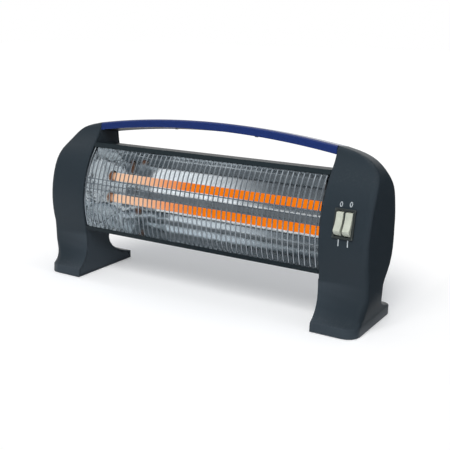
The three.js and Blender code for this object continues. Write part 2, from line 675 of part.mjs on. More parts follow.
// The blue arch: a channel, open below, with rounded upper edges.
function handleGrip() {
  const e = HANDLE_FRONT_EDGE;
  const r = HANDLE_REAR_EDGE;
  const w = HANDLE_WALL;
  const section = [
    [0, HANDLE_THICKNESS], [0, e], [e * 0.3, e * 0.3], [e, 0],
    [HANDLE_DEPTH - r, 0], [HANDLE_DEPTH - r * 0.5, r * 0.13], [HANDLE_DEPTH - r * 0.13, r * 0.5],
    [HANDLE_DEPTH, r], [HANDLE_DEPTH, HANDLE_THICKNESS], [HANDLE_DEPTH - w, HANDLE_THICKNESS],
    [HANDLE_DEPTH - w, r * 0.9], [HANDLE_DEPTH - r * 0.9, w], [w, w], [w, HANDLE_THICKNESS],
  ];
  const steps = 18;
  const loops = [];
  for (let i = 0; i <= steps; i += 1) {
    const x = THREE.MathUtils.lerp(-BODY_END, BODY_END, i / steps);
    loops.push(section.map(([back, down]) => handlePoint(x, back, down)));
  }
  const screws = [-LINER_SCREW_X, LINER_SCREW_X];
  const bosses = screws.map((x) => linerScrewBoss(x, LINER_DOWN - 1));
  return carved(skin(loops, 'x'), screws.map(linerScrewHole), bosses);
}

// The strip under the grip, narrowed to a tongue at each end.
function handleLiner() {
  const inside = HANDLE_WALL + CLEARANCE;
  const strip = handleBar(
    -BODY_END, BODY_END, inside, HANDLE_DEPTH - inside, LINER_DOWN, LINER_DOWN + LINER_THICKNESS, 18,
  );
  const tongue = handleBar(
    BODY_END - 12, INNER_X + TONGUE_REACH, TONGUE_BACK, TONGUE_BACK + TONGUE_WIDTH,
    LINER_DOWN, LINER_DOWN + LINER_THICKNESS, 1,
  );
  const holes = [-TONGUE_SCREW_X, -LINER_SCREW_X, LINER_SCREW_X, TONGUE_SCREW_X].map(linerScrewHole);
  return carved(strip, holes, [tongue, mirrored(tongue)]);
}

// ---------------------------------------------------------------- casing, reflector and grille

// Height of the casing's top, which falls towards the back.
function casingTopAt(y) {
  return TOP_EDGE - Math.tan(radians(BODY_LEAN)) * (y - bowAt(TOP_EDGE));
}

function casingLine() {
  const path = new THREE.Path();
  path.moveTo(bowAt(BOTTOM_EDGE + LIP_LOWER), BOTTOM_EDGE + LIP_LOWER);
  path.lineTo(bowAt(BOTTOM_EDGE), BOTTOM_EDGE);
  path.lineTo(0, BOTTOM_EDGE - 1.5);
  path.quadraticCurveTo(CASING_REAR - 8, BOTTOM_EDGE, CASING_REAR - 2.5, BODY_MIDDLE - VENT.fromMiddle);
  path.lineTo(CASING_REAR, BODY_MIDDLE);
  path.quadraticCurveTo(CASING_REAR, BODY_MIDDLE + VENT.fromMiddle, TOP_REAR, casingTopAt(TOP_REAR) - 4);
  path.lineTo(TOP_REAR - 3, casingTopAt(TOP_REAR - 3));
  path.lineTo(bowAt(TOP_EDGE), TOP_EDGE);
  path.lineTo(bowAt(TOP_EDGE - LIP_UPPER), TOP_EDGE - LIP_UPPER);
  return pathPoints(path, 7);
}

// How far back the casing stands at a height above its bottom.
function casingBackAt(z) {
  return readAt(casingLine().slice(2), z);
}

function rearCasing() {
  const line = casingLine();
  const sheet = bentSheet(line, -CASING_SHEET, -BODY_END, BODY_END);
  const back = line.slice(2, -2);
  const flange = bentSheet(back, -CASING_FLANGE, BODY_END - CASING_SHEET, BODY_END);
  const endHole = (diameter, { y, z }) => barX(diameter, -BODY_END - 1, BODY_END + 1, y, z, 8);
  const holes = [
    ...CASING_SCREWS.map((at) => endHole(SCREW.shank + 2 * CLEARANCE, at)),
    endHole(WIRE_LEAD + 0.8, RETURN_LEAD),
  ];
  const vents = [];
  for (let i = 0; i < VENT.count; i += 1) {
    const x = (i - (VENT.count - 1) / 2) * VENT.pitch;
    for (const side of [-1, 1]) {
      const low = BODY_MIDDLE + side * VENT.fromMiddle - VENT.length / 2;
      const [left, right] = [x - VENT.width / 2, x + VENT.width / 2];
      vents.push(box(left, right, REFLECTOR_REAR, BELLY_REAR + 5, low, low + VENT.length));
    }
  }
  return carved(sheet, [...holes, ...vents], [flange, mirrored(flange)]);
}

// Where the reflector's two front edges stand, just behind the rails of the grille.
const GRILLE_BACK = GRILLE_END_INSET + CASING_SHEET + WIRE + CLEARANCE;

function reflectorLine() {
  const lowFront = bowAt(GRILLE_LOW) + GRILLE_BACK + REFLECTOR_SHEET;
  const highFront = bowAt(GRILLE_HIGH) + GRILLE_BACK + REFLECTOR_SHEET;
  const low = BOTTOM_EDGE + CASING_SHEET + CLEARANCE;
  const high = casingTopAt(highFront) - CASING_SHEET - 1.5 * CLEARANCE;
  const path = new THREE.Path();
  path.moveTo(lowFront, low);
  path.quadraticCurveTo(REFLECTOR_REAR, low + 6, REFLECTOR_REAR, BODY_MIDDLE - REFLECTOR_FLAT / 2);
  path.lineTo(REFLECTOR_REAR, BODY_MIDDLE + REFLECTOR_FLAT / 2);
  path.quadraticCurveTo(REFLECTOR_REAR, high - 9, highFront, high);
  return pathPoints(path, 10);
}

function reflector() {
  return bentSheet(reflectorLine(), -REFLECTOR_SHEET, -BODY_END + 2, BODY_END - 2);
}

// The plate across the trough near each cap, flared out to the grille, with a round opening for each tube.
function reflectorEnd() {
  const trough = offsetLine(reflectorLine(), -REFLECTOR_SHEET - CLEARANCE);
  const [low, high] = [trough[0], trough[trough.length - 1]].map(([, z]) => z);
  const bowed = Array.from({ length: 9 }, (_, i) => {
    const z = THREE.MathUtils.lerp(high, low, (i + 0.5) / 9);
    return [bowAt(z) + GRILLE_BACK, z];
  });
  const plate = sideExtrusion([...trough, ...bowed], END_PLATE_X, END_PLATE_X + REFLECTOR_SHEET);
  plate.applyMatrix4(new THREE.Matrix4().makeShear(0, 0, -REFLECTOR_END_FLARE, 0, 0, 0));
  plate.translate((REFLECTOR_END_FLARE * (LOWER_TUBE.y + UPPER_TUBE.y)) / 2, 0, 0);
  const slot = CERAMIC_DIAMETER + 2 * END_SLOT_GAP;
  const opening = ({ y, z }) => barX(slot, END_PLATE_X - 3, END_PLATE_X + 4, y, z, 20);
  return carved(plate, [opening(LOWER_TUBE), opening(UPPER_TUBE)]);
}

// The bowed net of upright wires: a curved sheet that is cut open between them.
function frontGrille() {
  const steps = 5;
  const middle = (GRILLE_LOW + GRILLE_HIGH) / 2;
  const half = (GRILLE_HIGH - GRILLE_LOW) / 2;
  const front = [];
  for (let i = 0; i <= steps; i += 1) {
    const z = THREE.MathUtils.lerp(GRILLE_LOW, GRILLE_HIGH, i / steps);
    const share = ((z - middle) / half) ** 4;
    const inset = THREE.MathUtils.lerp(GRILLE_FRONT_INSET, GRILLE_END_INSET, share);
    front.push([bowAt(z) + inset, z]);
  }
  const sheet = bentSheet(front, WIRE, -BODY_END, BODY_END);
  const pitch = (2 * INNER_X) / WIRE_COUNT;
  const crossWires = [-1, 0, 1].map((step) => BODY_MIDDLE + CROSS_WIRE_RAISE + step * CROSS_WIRE_SPACING);
  const rows = [GRILLE_LOW + RAIL, ...crossWires, GRILLE_HIGH - RAIL];
  const slots = [];
  for (let i = 0; i + 1 < WIRE_COUNT; i += 1) {
    const left = -INNER_X + (i + 0.5) * pitch + WIRE / 2;
    for (let row = 0; row + 1 < rows.length; row += 1) {
      const low = rows[row] + (row > 0 ? CROSS_WIRE / 2 : 0);
      const high = rows[row + 1] - (row + 2 < rows.length ? CROSS_WIRE / 2 : 0);
      slots.push(solid(box(left, left + pitch - WIRE, -BOW_REACH - 5, 5, low, high)));
    }
  }
  return geometryOf(solid(sheet).subtract(wasm.Manifold.union(slots)));
}

// ---------------------------------------------------------------- tubes and holders

function quartzTube() {
  const outer = TUBE_DIAMETER / 2;
  const inner = outer - TUBE_WALL;
  const profile = [[inner, -TUBE_END], [outer, -TUBE_END], [outer, TUBE_END], [inner, TUBE_END], [inner, -TUBE_END]];
  return turnedX(profile, 16);
}

// The wound element fills its tube. Its fine turns are kept as their outer shape.
function heatingCoil() {
  const half = END_PLATE_X - COIL_END_GAP;
  return barX(TUBE_DIAMETER - 2 * TUBE_WALL - 2 * CLEARANCE, -half, half, 0, 0, 16);
}

function ceramicHolder() {
  const bore = TUBE_DIAMETER / 2 + CLEARANCE;
  const body = CERAMIC_DIAMETER / 2;
  const collar = CERAMIC_COLLAR / 2;
  const start = CERAMIC_END - CERAMIC_LENGTH;
  const shoulder = TUBE_END + CLEARANCE;
  return turnedX([
    [bore, start], [body, start], [body, COLLAR_X], [collar, COLLAR_X], [collar, COLLAR_X + COLLAR_THICKNESS],
    [body, COLLAR_X + COLLAR_THICKNESS], [body, CERAMIC_END], [LEAD_HOLE / 2, CERAMIC_END],
    [LEAD_HOLE / 2, shoulder], [bore, shoulder], [bore, start],
  ], 12);
}

// The plate behind each cover that both ceramics pass through.
function tubeBracket() {
  const x0 = COVER_OUTSIDE + CLEARANCE;
  const x1 = x0 + BRACKET_THICKNESS;
  const [upper, lower] = CASING_SCREWS;
  const [m, arm] = [BRACKET_MARGIN, BRACKET_ARM];
  const outline = [
    [LOWER_TUBE.y - m, LOWER_TUBE.z - m], [LOWER_TUBE.y + m, LOWER_TUBE.z - m], [lower.y + 0.6 * arm, lower.z - 1.2 * arm],
    [lower.y + 0.6 * arm, upper.z - 4 * arm], [upper.y + 0.8 * arm, upper.z + arm],
    [UPPER_TUBE.y - m / 2, UPPER_TUBE.z + 1.5 * m], [UPPER_TUBE.y - 1.2 * m, UPPER_TUBE.z + 0.8 * m],
    [LOWER_TUBE.y - m, (LOWER_TUBE.z + UPPER_TUBE.z) / 2 - 1],
  ];
  const hole = (diameter, { y, z }, sides) => barX(diameter, x0 - 1, x1 + 1, y, z, sides);
  return carved(sideExtrusion(outline, x0, x1), [
    hole(CERAMIC_DIAMETER + 2 * CLEARANCE, LOWER_TUBE, 16),
    hole(CERAMIC_DIAMETER + 2 * CLEARANCE, UPPER_TUBE, 16),
    hole(SCREW.shank + 2 * CLEARANCE, upper, 8),
    hole(SCREW.shank + 2 * CLEARANCE, lower, 8),
  ]);
}

// ---------------------------------------------------------------- rocker switches

const BAY_HALF_LENGTH = ROCKER_END_RADIUS + CLEARANCE + 0.1;
const BAY_HALF_WIDTH = ROCKER_WIDTH / 2 + CLEARANCE;

// Twin frame: a thin flange on the cap, and the housing behind it with a bay for each rocker.
function switchFrame() {
  const flange = box(
    -FLANGE.width / 2, FLANGE.width / 2,
    FLANGE_SINK - FLANGE.thickness, FLANGE_SINK,
    -FLANGE.length / 2, FLANGE.length / 2,
  );
  const housing = box(
    -HOUSING.width / 2, HOUSING.width / 2,
    FLANGE_SINK - 0.5, HOUSING.depth,
    -HOUSING.length / 2, HOUSING.length / 2,
  );
  const bays = [-1, 1].map((side) => {
    const middle = (side * ROCKER_SPACING) / 2;
    return box(middle - BAY_HALF_WIDTH, middle + BAY_HALF_WIDTH, -5, BAY_DEPTH, -BAY_HALF_LENGTH, BAY_HALF_LENGTH);
  });
  const reach = ROCKER_SPACING / 2 + BAY_HALF_WIDTH + 0.7;
  const pivots = barX(PIVOT_DIAMETER + 2 * CLEARANCE, -reach, reach, ROCKER_PIVOT_DEPTH, 0, 12);
  return carved(flange, [...bays, pivots], [housing]);
}

// A rocker about its own pivot, level: a shallow V in front, ends curved about the pivot.
function rocker() {
  const end = (degrees) => [
    -ROCKER_END_RADIUS * Math.sin(radians(degrees)),
    ROCKER_END_RADIUS * Math.cos(radians(degrees)),
  ];
  const inner = THREE.MathUtils.radToDeg(Math.asin(ROCKER_SKIRT / ROCKER_END_RADIUS));
  const upper = [...[1, 0.75, 0.5, 0.25, 0].map((share) => share * ROCKER_END_TURN), -inner].map(end);
  const lower = upper.map(([y, z]) => [y, -z]).reverse();
  const valley = upper[0][0] + ROCKER_HOLLOW;
  const body = sideExtrusion([[valley, 0], ...upper, ...lower], -ROCKER_WIDTH / 2, ROCKER_WIDTH / 2);
  const stub = ROCKER_WIDTH / 2 + 0.8;
  return carved(body, [], [barX(PIVOT_DIAMETER, -stub, stub, 0, 0, 12)]);
}

function switchBlade() {
  return box(
    -BLADE.width / 2, BLADE.width / 2,
    HOUSING.depth + CLEARANCE, HOUSING.depth + CLEARANCE + BLADE.length,
    -BLADE.thickness / 2, BLADE.thickness / 2,
  );
}

// ---------------------------------------------------------------- fittings, wires and fasteners

// Bushing for the mains lead: a flange outside the wall, a collar inside it and a bore through both.
function cordGland() {
  const bore = GLAND_BORE / 2;
  const flange = GLAND_FLANGE / 2;
  const neck = GLAND_NECK / 2;
  const seat = 2 * CLEARANCE;
  const inside = seat - CAP_WALL - 4 * CLEARANCE;
  const profile = [
    [bore, inside - 2], [neck - 0.4, inside - 2], [neck, inside], [neck, seat], [flange, seat],
    [flange, seat + 2], [neck, seat + 5], [bore, seat + 5], [bore, inside - 2],
  ];
  return turnedX(profile, 16).rotateZ(Math.PI / 2);
}

function thermalCutout() {
  const seat = COVER_OUTSIDE + CLEARANCE;
  const radius = CUTOUT.diameter / 2;
  const step = seat + CUTOUT.depth * 0.7;
  const end = seat + CUTOUT.depth;
  return turnedX([[0, seat], [radius, seat], [radius, step], [radius - 3, end], [0, end]], 16)
    .translate(0, CUTOUT.y, BODY_MIDDLE - CUTOUT.below);
}

function terminalBlock() {
  const wall = OUTER_X - SIDE_TAPER - CAP_WALL - CLEARANCE;
  const { width, depth, height, y, z } = TERMINAL_BLOCK;
  const block = box(wall - width, wall, y - depth / 2, y + depth / 2, z, z + height);
  const pitch = depth / 3;
  const wires = [-1, 0, 1].map((step) => (
    barZ(3.4, z - 1, z + height + 1, wall - width / 2, y + step * pitch, 8)
  ));
  return carved(block, wires);
}

function tipSwitch() {
  const { width, depth, height, y } = TIP_SWITCH;
  const x = CAP_MIDDLE;
  const floor = PAD_PROUD + CAP_WALL + CLEARANCE;
  const cup = box(x - width / 2, x + width / 2, y - depth / 2, y + depth / 2, floor, floor + height - 5);
  const turret = barZ(width - 6, floor + height - 7, floor + height, x, y, 12);
  return carved(cup, [], [turret]);
}

function lead(points, steps) {
  const route = new THREE.CatmullRomCurve3(points, false, 'centripetal');
  const section = new THREE.Shape();
  section.absarc(0, 0, WIRE_LEAD / 2, 0, 2 * Math.PI);
  return new THREE.ExtrudeGeometry(section, { steps, extrudePath: route, curveSegments: 3, bevelEnabled: false });
}

const RETURN_LEAD = {
  y: (REFLECTOR_REAR + REFLECTOR_SHEET + CASING_REAR - CASING_SHEET) / 2,
  z: BODY_MIDDLE,
};

// Runs from cap to cap behind the reflector.
function returnLead() {
  const end = COVER_OUTSIDE + 12;
  const points = [-end, -INNER_X / 2, 0, INNER_X / 2, end];
  return lead(points.map((x) => new THREE.Vector3(x, RETURN_LEAD.y, RETURN_LEAD.z)), 8);
}

// From a right-hand ceramic to the blade of its switch.
function feedLead(tube, bladeX, bladeZ, rise) {
  const tip = HOUSING.depth + CLEARANCE + BLADE.length + CLEARANCE;
  const start = new THREE.Vector3(CERAMIC_END + CLEARANCE, tube.y, tube.z);
  const end = new THREE.Vector3(bladeX, tip, bladeZ).applyMatrix4(SWITCH_FRAME.matrixWorld);
  const before = new THREE.Vector3(bladeX, tip + 4, bladeZ).applyMatrix4(SWITCH_FRAME.matrixWorld);
  return lead([
    start,
    new THREE.Vector3(start.x + 5, tube.y, tube.z + rise / 2),
    new THREE.Vector3(before.x, before.y + 3, before.z + rise),
    before,
    end,
  ], 12);
}

// A pan-head screw along +X, from its head's flat to its tip.
function screw(length) {
  const head = SCREW.head / 2;
  const shank = SCREW.shank / 2;
  return turnedX([
    [0, -SCREW.headHeight], [head * 0.7, -SCREW.headHeight], [head, -SCREW.headHeight * 0.4], [head, 0],
    [shank, 0], [shank, length], [0, length],
  ], 8);
}

function footPad() {
  return new THREE.CylinderGeometry(PAD.diameter / 2, PAD.diameter / 2, PAD.thickness, 20)
    .rotateX(Math.PI / 2)
    .translate(0, 0, PAD.thickness / 2);
}

// ---------------------------------------------------------------- assembly

const heater = new THREE.Group();

function place(parent, name, geometry, material, position = [0, 0, 0]) {
  const mesh = new THREE.Mesh(geometry, material.clone());
  mesh.name = name;
  mesh.position.set(...position);
  parent.add(mesh);
  return mesh;
}

// Adds a piece for the right end, and its mirror image for the left.
function placePair(name, geometry, material) {
  place(heater, `right_${name}`, geometry, material);
  place(heater, `left_${name}`, mirrored(geometry), material);
}

place(heater, 'right_end_shell', endShell([...switchCuts(), glandCut()]), CAP_PLASTIC);
place(heater, 'left_end_shell', mirrored(endShell()), CAP_PLASTIC);
placePair('inner_cover', innerCover(), CAP_PLASTIC);

place(heater, 'handle_grip', handleGrip(), HANDLE_PLASTIC);
place(heater, 'handle_liner', handleLiner(), DARK_PLASTIC);

place(heater, 'rear_casing', rearCasing(), PAINTED_STEEL);
place(heater, 'reflector', reflector(), POLISHED_ALUMINIUM);
placePair('reflector_end', reflectorEnd(), POLISHED_ALUMINIUM);
place(heater, 'front_grille', frontGrille(), BRIGHT_WIRE);

for (const [level, tube] of [['lower', LOWER_TUBE], ['upper', UPPER_TUBE]]) {
  const holder = ceramicHolder().translate(0, tube.y, tube.z);
  place(heater, `${level}_quartz_tube`, quartzTube(), QUARTZ, [0, tube.y, tube.z]);
  place(heater, `${level}_heating_coil`, heatingCoil(), GLOWING_WIRE, [0, tube.y, tube.z]);
  place(heater, `${level}_right_ceramic`, holder, CERAMIC);
  place(heater, `${level}_left_ceramic`, mirrored(holder), CERAMIC);
}
placePair('tube_bracket', tubeBracket(), ZINC_STEEL);

heater.add(SWITCH_FRAME);
place(SWITCH_FRAME, 'switch_frame', switchFrame(), DARK_PLASTIC);
for (const [name, side] of [['left', -1], ['right', 1]]) {
  const button = place(
    SWITCH_FRAME, `${name}_rocker`, rocker(), ROCKER_PLASTIC,
    [(side * ROCKER_SPACING) / 2, ROCKER_PIVOT_DEPTH, 0],
  );
  button.rotation.x = radians(-ROCKER_TILT);
}
const BLADE_PLACES = [-1, 1].flatMap((side) => (
  [-1, 1].map((end) => [(side * ROCKER_SPACING) / 2, 0, (end * BLADE.spacing) / 2])
));
BLADE_PLACES.forEach((position, i) => {
  place(SWITCH_FRAME, `switch_blade_${i + 1}`, switchBlade(), BRASS, position);
});

heater.add(GLAND_FRAME);
place(GLAND_FRAME, 'cord_gland', cordGland(), RUBBER);
place(heater, 'thermal_cutout', thermalCutout(), ZINC_STEEL);
place(heater, 'terminal_block', terminalBlock(), CERAMIC);
place(heater, 'tip_over_switch', tipSwitch(), DARK_PLASTIC);

place(heater, 'return_lead', returnLead(), LEAD_SLEEVE);
place(heater, 'upper_feed_lead', feedLead(UPPER_TUBE, ROCKER_SPACING / 2, BLADE.spacing / 2, 6), LEAD_SLEEVE);
place(heater, 'lower_feed_lead', feedLead(LOWER_TUBE, -ROCKER_SPACING / 2, -BLADE.spacing / 2, -6), LEAD_SLEEVE);

// Screws that hold each cover: heads on the side of the body.
COVER_SCREWS.forEach(({ y, z }, i) => {
  const piece = screw(SCREW.length).translate(INNER_X - CLEARANCE, y, z);
  placePair(`cover_screw_${i + 1}`, piece, ZINC_STEEL);
});

// Screws from inside each cap, through bracket and cover, into the casing's flange.
CASING_SCREWS.forEach(({ y, z }, i) => {
  const head = COVER_OUTSIDE + CLEARANCE + BRACKET_THICKNESS + CLEARANCE;
  const piece = screw(SCREW.shortLength).rotateZ(Math.PI).translate(head, y, z);
  placePair(`casing_screw_${i + 1}`, piece, ZINC_STEEL);
});

// Screws up through the liner.
for (const [name, x] of [['tongue_screw', TONGUE_SCREW_X], ['liner_screw', LINER_SCREW_X]]) {
  const upright = screw(SCREW.shortLength).rotateY(-Math.PI / 2);
  const piece = squareToHandle(upright, x, LINER_DOWN + LINER_THICKNESS + CLEARANCE);
  placePair(name, piece, ZINC_STEEL);
}

for (const [end, side] of [['front', -1], ['rear', 1]]) {
  placePair(`${end}_foot_pad`, footPad().translate(CAP_MIDDLE, side * PAD_Y, 0), RUBBER);
}

export default heater;
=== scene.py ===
from math import asin, cos, degrees, pi, radians, sin, sqrt, tan

import bmesh
import bpy
from mathutils import Matrix, Vector


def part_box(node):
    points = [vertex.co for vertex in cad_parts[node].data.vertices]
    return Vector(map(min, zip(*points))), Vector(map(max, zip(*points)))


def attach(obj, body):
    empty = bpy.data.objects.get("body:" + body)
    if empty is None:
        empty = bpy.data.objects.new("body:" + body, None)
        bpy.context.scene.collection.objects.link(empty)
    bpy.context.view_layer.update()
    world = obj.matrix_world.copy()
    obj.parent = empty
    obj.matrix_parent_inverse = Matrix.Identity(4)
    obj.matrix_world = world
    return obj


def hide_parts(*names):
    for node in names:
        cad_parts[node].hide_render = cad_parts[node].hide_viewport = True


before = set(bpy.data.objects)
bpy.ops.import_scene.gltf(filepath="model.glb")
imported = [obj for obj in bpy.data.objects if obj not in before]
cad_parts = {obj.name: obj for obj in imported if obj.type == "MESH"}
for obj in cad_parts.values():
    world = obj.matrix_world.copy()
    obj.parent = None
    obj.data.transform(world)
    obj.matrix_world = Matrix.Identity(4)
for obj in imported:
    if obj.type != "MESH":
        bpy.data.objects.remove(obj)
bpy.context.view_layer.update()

# ---------------------------------------------------------------- camera
# A 65 mm lens at about a metre, from the right front and a little above, as the photograph was
# taken. The whole heater stands in the square frame with the floor running out to white.

camera = bpy.data.objects.new("camera", bpy.data.cameras.new("camera"))
camera.data.sensor_width = 36
camera.data.lens = 64.83
camera.location = (0.5798, -0.8498, 0.3669)
camera.rotation_euler = (radians(74.942), 0, radians(33.055))
camera.data.clip_start = 0.02
bpy.context.scene.collection.objects.link(camera)
bpy.context.scene.camera = camera
bpy.context.scene.view_settings.view_transform = "Standard"
bpy.context.scene.cycles.glossy_bounces = 10

# ---------------------------------------------------------------- end caps
# The two feet and sides of the heater are hollow mouldings in dark blue-grey polypropylene, with a
# fine spark-eroded grain. Each is one shot from the mould, with its inner front edge well rounded
# above the waist. Two flat covers close them on the inside.

mm = 0.001
inner_plane = 181 * mm
soft_edge = 2.1 * mm
waist_height = 60 * mm


class Value:
    """A socket of a finish, on which sums and products can be written."""

    def __init__(self, finish, socket):
        self.finish = finish
        self.socket = socket

    def worked(self, operation, first, second):
        return self.finish.node("ShaderNodeMath", {"operation": operation}, {0: first, 1: second})

    def __add__(self, other):
        return self.worked("ADD", self, other)

    def __radd__(self, other):
        return self.worked("ADD", other, self)

    def __sub__(self, other):
        return self.worked("SUBTRACT", self, other)

    def __rsub__(self, other):
        return self.worked("SUBTRACT", other, self)

    def __mul__(self, other):
        return self.worked("MULTIPLY", self, other)

    def __rmul__(self, other):
        return self.worked("MULTIPLY", other, self)


class Finish:
    """The material of one of the heater's pieces, around one Principled shader."""

    def __init__(self, name, colour, roughness, metallic=0.0):
        self.material = bpy.data.materials.new(name)
        self.material.use_nodes = True
        self.tree = self.material.node_tree
        self.shader = self.tree.nodes["Principled BSDF"]
        self.surface = self.tree.nodes["Material Output"].inputs["Surface"]
        self.feed("Base Color", (*colour, 1))
        self.feed("Roughness", roughness)
        self.feed("Metallic", metallic)

    def node(self, kind, settings=None, sockets=None, output=0):
        """Adds a node: its settings first, then the values or links of its sockets."""
        node = self.tree.nodes.new(kind)
        for name, setting in (settings or {}).items():
            setattr(node, name, setting)
        for name, value in (sockets or {}).items():
            self.join(node.inputs[name], value)
        return Value(self, node.outputs[output])

    def join(self, socket, value):
        if isinstance(value, Value):
            self.tree.links.new(value.socket, socket)
        else:
            socket.default_value = value

    def feed(self, name, value):
        """Gives a socket of the shader a constant, or what changes over the surface."""
        self.join(self.shader.inputs[name], value)

    def place(self, stretch=(1, 1, 1)):
        """Where on the piece a point is, in metres, stretched where a pattern runs one way."""
        place = self.node("ShaderNodeTexCoord", output="Object")
        return self.node("ShaderNodeMapping", {}, {"Vector": place, "Scale": stretch}, "Vector")

    def speckle(self, scale, detail=2.0, stretch=(1, 1, 1), roughness=0.55):
        """Even noise from 0 to 1, its scale in lumps to the metre."""
        sockets = {"Vector": self.place(stretch), "Scale": scale}
        sockets.update({"Detail": detail, "Roughness": roughness})
        return self.node("ShaderNodeTexNoise", {}, sockets)

    def ramped(self, value, low, high):
        """0 to 1 as the value goes from low to high."""
        settings = {"interpolation_type": "SMOOTHSTEP"}
        return self.node("ShaderNodeMapRange", settings, {0: value, 1: low, 2: high})

    def tinted(self, mask, colour, other):
        """One colour where the mask is 0, the other where it is 1."""
        first = colour if isinstance(colour, Value) else (*colour, 1)
        second = other if isinstance(other, Value) else (*other, 1)
        return self.node("ShaderNodeMix", {"data_type": "RGBA"}, {0: mask, 6: first, 7: second}, 2)

    def relief(self, height, distance, strength=1.0):
        """Puts a fine relief on the surface, its height from 0 to 1 over a distance in metres."""
        sockets = {"Height": height, "Distance": distance, "Strength": strength}
        self.feed("Normal", self.node("ShaderNodeBump", {}, sockets))

    def facing_up(self):
        """1 on level surfaces, 0 on upright ones."""
        normal = self.node("ShaderNodeNewGeometry", output="Normal")
        upwards = self.node("ShaderNodeSeparateXYZ", {}, {0: normal}, "Z")
        return self.ramped(upwards, 0.45, 0.95)

    def edge_turns(self, low, high):
        """1 on edges that stand out, from how sharply the surface turns."""
        turn = self.node("ShaderNodeNewGeometry", output="Pointiness")
        return self.ramped(turn, low, high)

    def shown_on(self, *pieces):
        for piece in pieces:
            piece.data.materials.clear()
            piece.data.materials.append(self.material)


def whole_copy(node):
    """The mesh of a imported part, its loose triangles joined and its flat faces made whole."""
    shape = bmesh.new()
    shape.from_mesh(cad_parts[node].data)
    bmesh.ops.remove_doubles(shape, verts=shape.verts, dist=2e-6)
    bmesh.ops.dissolve_limit(shape, angle_limit=radians(0.2), verts=shape.verts, edges=shape.edges)
    bmesh.ops.triangulate(shape, faces=[face for face in shape.faces if len(face.verts) > 4])
    bmesh.ops.join_triangles(shape, faces=shape.faces,
                             angle_face_threshold=radians(35), angle_shape_threshold=radians(50))
    return shape


def verts_among(items):
    """The vertices in what a bmesh operator gives back."""
    return [item for item in items if isinstance(item, bmesh.types.BMVert)]


def finished(shape, name, body, node=None, crease=35):
    """Makes a piece of a mesh: smooth up to a crease, riding on its body, standing for its part."""
    mesh = bpy.data.meshes.new(name)
    shape.to_mesh(mesh)
    shape.free()
    mesh.shade_smooth()
    mesh.set_sharp_from_angle(angle=radians(crease))
    piece = bpy.data.objects.new(name, mesh)
    bpy.context.scene.collection.objects.link(piece)
    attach(piece, body)
    if node:
        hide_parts(*([node] if isinstance(node, str) else node))
    return piece


def rounded(shape, edges, width, segments=3):
    """Rounds some edges of a mesh, as a mould or a tool leaves them."""
    bmesh.ops.bevel(shape, geom=edges, offset=width, offset_type="OFFSET", affect="EDGES", segments=segments,
                    profile=0.5, material=-1, clamp_overlap=True)


cap_plastic = Finish("cap_plastic", (0.023, 0.031, 0.038), 0.5)
cap_plastic.feed("Specular IOR Level", 0.1)
cloud = cap_plastic.speckle(9, 3)
# Along the sharp edges the grain is rubbed smoother, and a painted highlight lightens the colour.
rubbed_and_highlight = cap_plastic.edge_turns(0.52, 0.60)
dusty = cap_plastic.facing_up() * cap_plastic.ramped(cap_plastic.speckle(420, 5), 0.45, 0.8)
shade = cap_plastic.tinted(cloud, (0.0210, 0.0290, 0.0360), (0.0240, 0.0330, 0.0405))
# The lighter colour on the edges is a painted highlight.
shade = cap_plastic.tinted(0.5 * rubbed_and_highlight, shade, (0.05, 0.064, 0.078))
cap_plastic.feed("Base Color", cap_plastic.tinted(0.10 * dusty, shade, (0.2, 0.2, 0.2)))
grain = cap_plastic.speckle(1500, 3, roughness=0.7)
cap_plastic.feed("Roughness", 0.34 + 0.10 * grain + 0.06 * cloud - 0.1 * rubbed_and_highlight)
cap_plastic.relief(grain, 0.00006, 0.3)

cap_shells = []
for side in ("left", "right"):
    shell = whole_copy(f"{side}_end_shell")
    soft = []
    for edge in shell.edges:
        if len(edge.link_faces) != 2:
            continue
        on_rim = all(abs(abs(vert.co.x) - inner_plane) < 1e-5 for vert in edge.verts)
        outward = [face.normal.y for face in edge.link_faces if abs(face.normal.x) < 0.5]
        steep = abs((edge.verts[0].co - edge.verts[1].co).normalized().z) > 0.3
        above_waist = min(vert.co.z for vert in edge.verts) > waist_height
        if on_rim and outward and outward[0] < -0.2 and steep and above_waist:
            soft.append(edge)
    rounded(shell, soft, soft_edge, 4)
    piece = finished(shell, f"{side}_cap", "heater", f"{side}_end_shell", 24)
    piece.modifiers.new("even_shading", "WEIGHTED_NORMAL").keep_sharp = True
    cap_shells.append(piece)
cap_plastic.shown_on(*cap_shells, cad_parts["left_inner_cover"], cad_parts["right_inner_cover"])

# ---------------------------------------------------------------- foot pads
# Four round pads of black rubber, pressed into recesses under the feet. They hold the caps just off
# the table, so that the rims of the feet cast a thin dark line.

rubber = Finish("pad_rubber", (0.013, 0.013, 0.014), 0.85)
scuff = rubber.speckle(260, 4)
rubber.feed("Base Color", rubber.tinted(scuff, (0.010, 0.010, 0.011), (0.024, 0.024, 0.023)))
rubber.feed("Roughness", 0.78 + 0.15 * scuff)
rubber.relief(scuff, 0.00008, 0.5)
rubber.shown_on(*[part for name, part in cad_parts.items() if name.endswith("foot_pad")])

# ---------------------------------------------------------------- fittings inside the right cap
# A tip-over switch in a sealed black case on the floor of the cap, a steatite terminal block and a
# thermal cut-out on the inner cover. The leads are tinned copper in woven glass-fibre sleeve.

dark_plastic = Finish("dark_plastic", (0.011, 0.013, 0.014), 0.5)
dark_plastic.feed("Specular IOR Level", 0.15)
moulded = dark_plastic.speckle(900, 3)
mottled = dark_plastic.speckle(30)
dark_plastic.feed("Base Color", dark_plastic.tinted(mottled, (0.009, 0.011, 0.012), (0.014, 0.017, 0.018)))
dark_plastic.feed("Roughness", 0.42 + 0.14 * moulded)
dark_plastic.relief(moulded, 0.00005, 0.3)
dark_plastic.shown_on(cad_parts["tip_over_switch"])

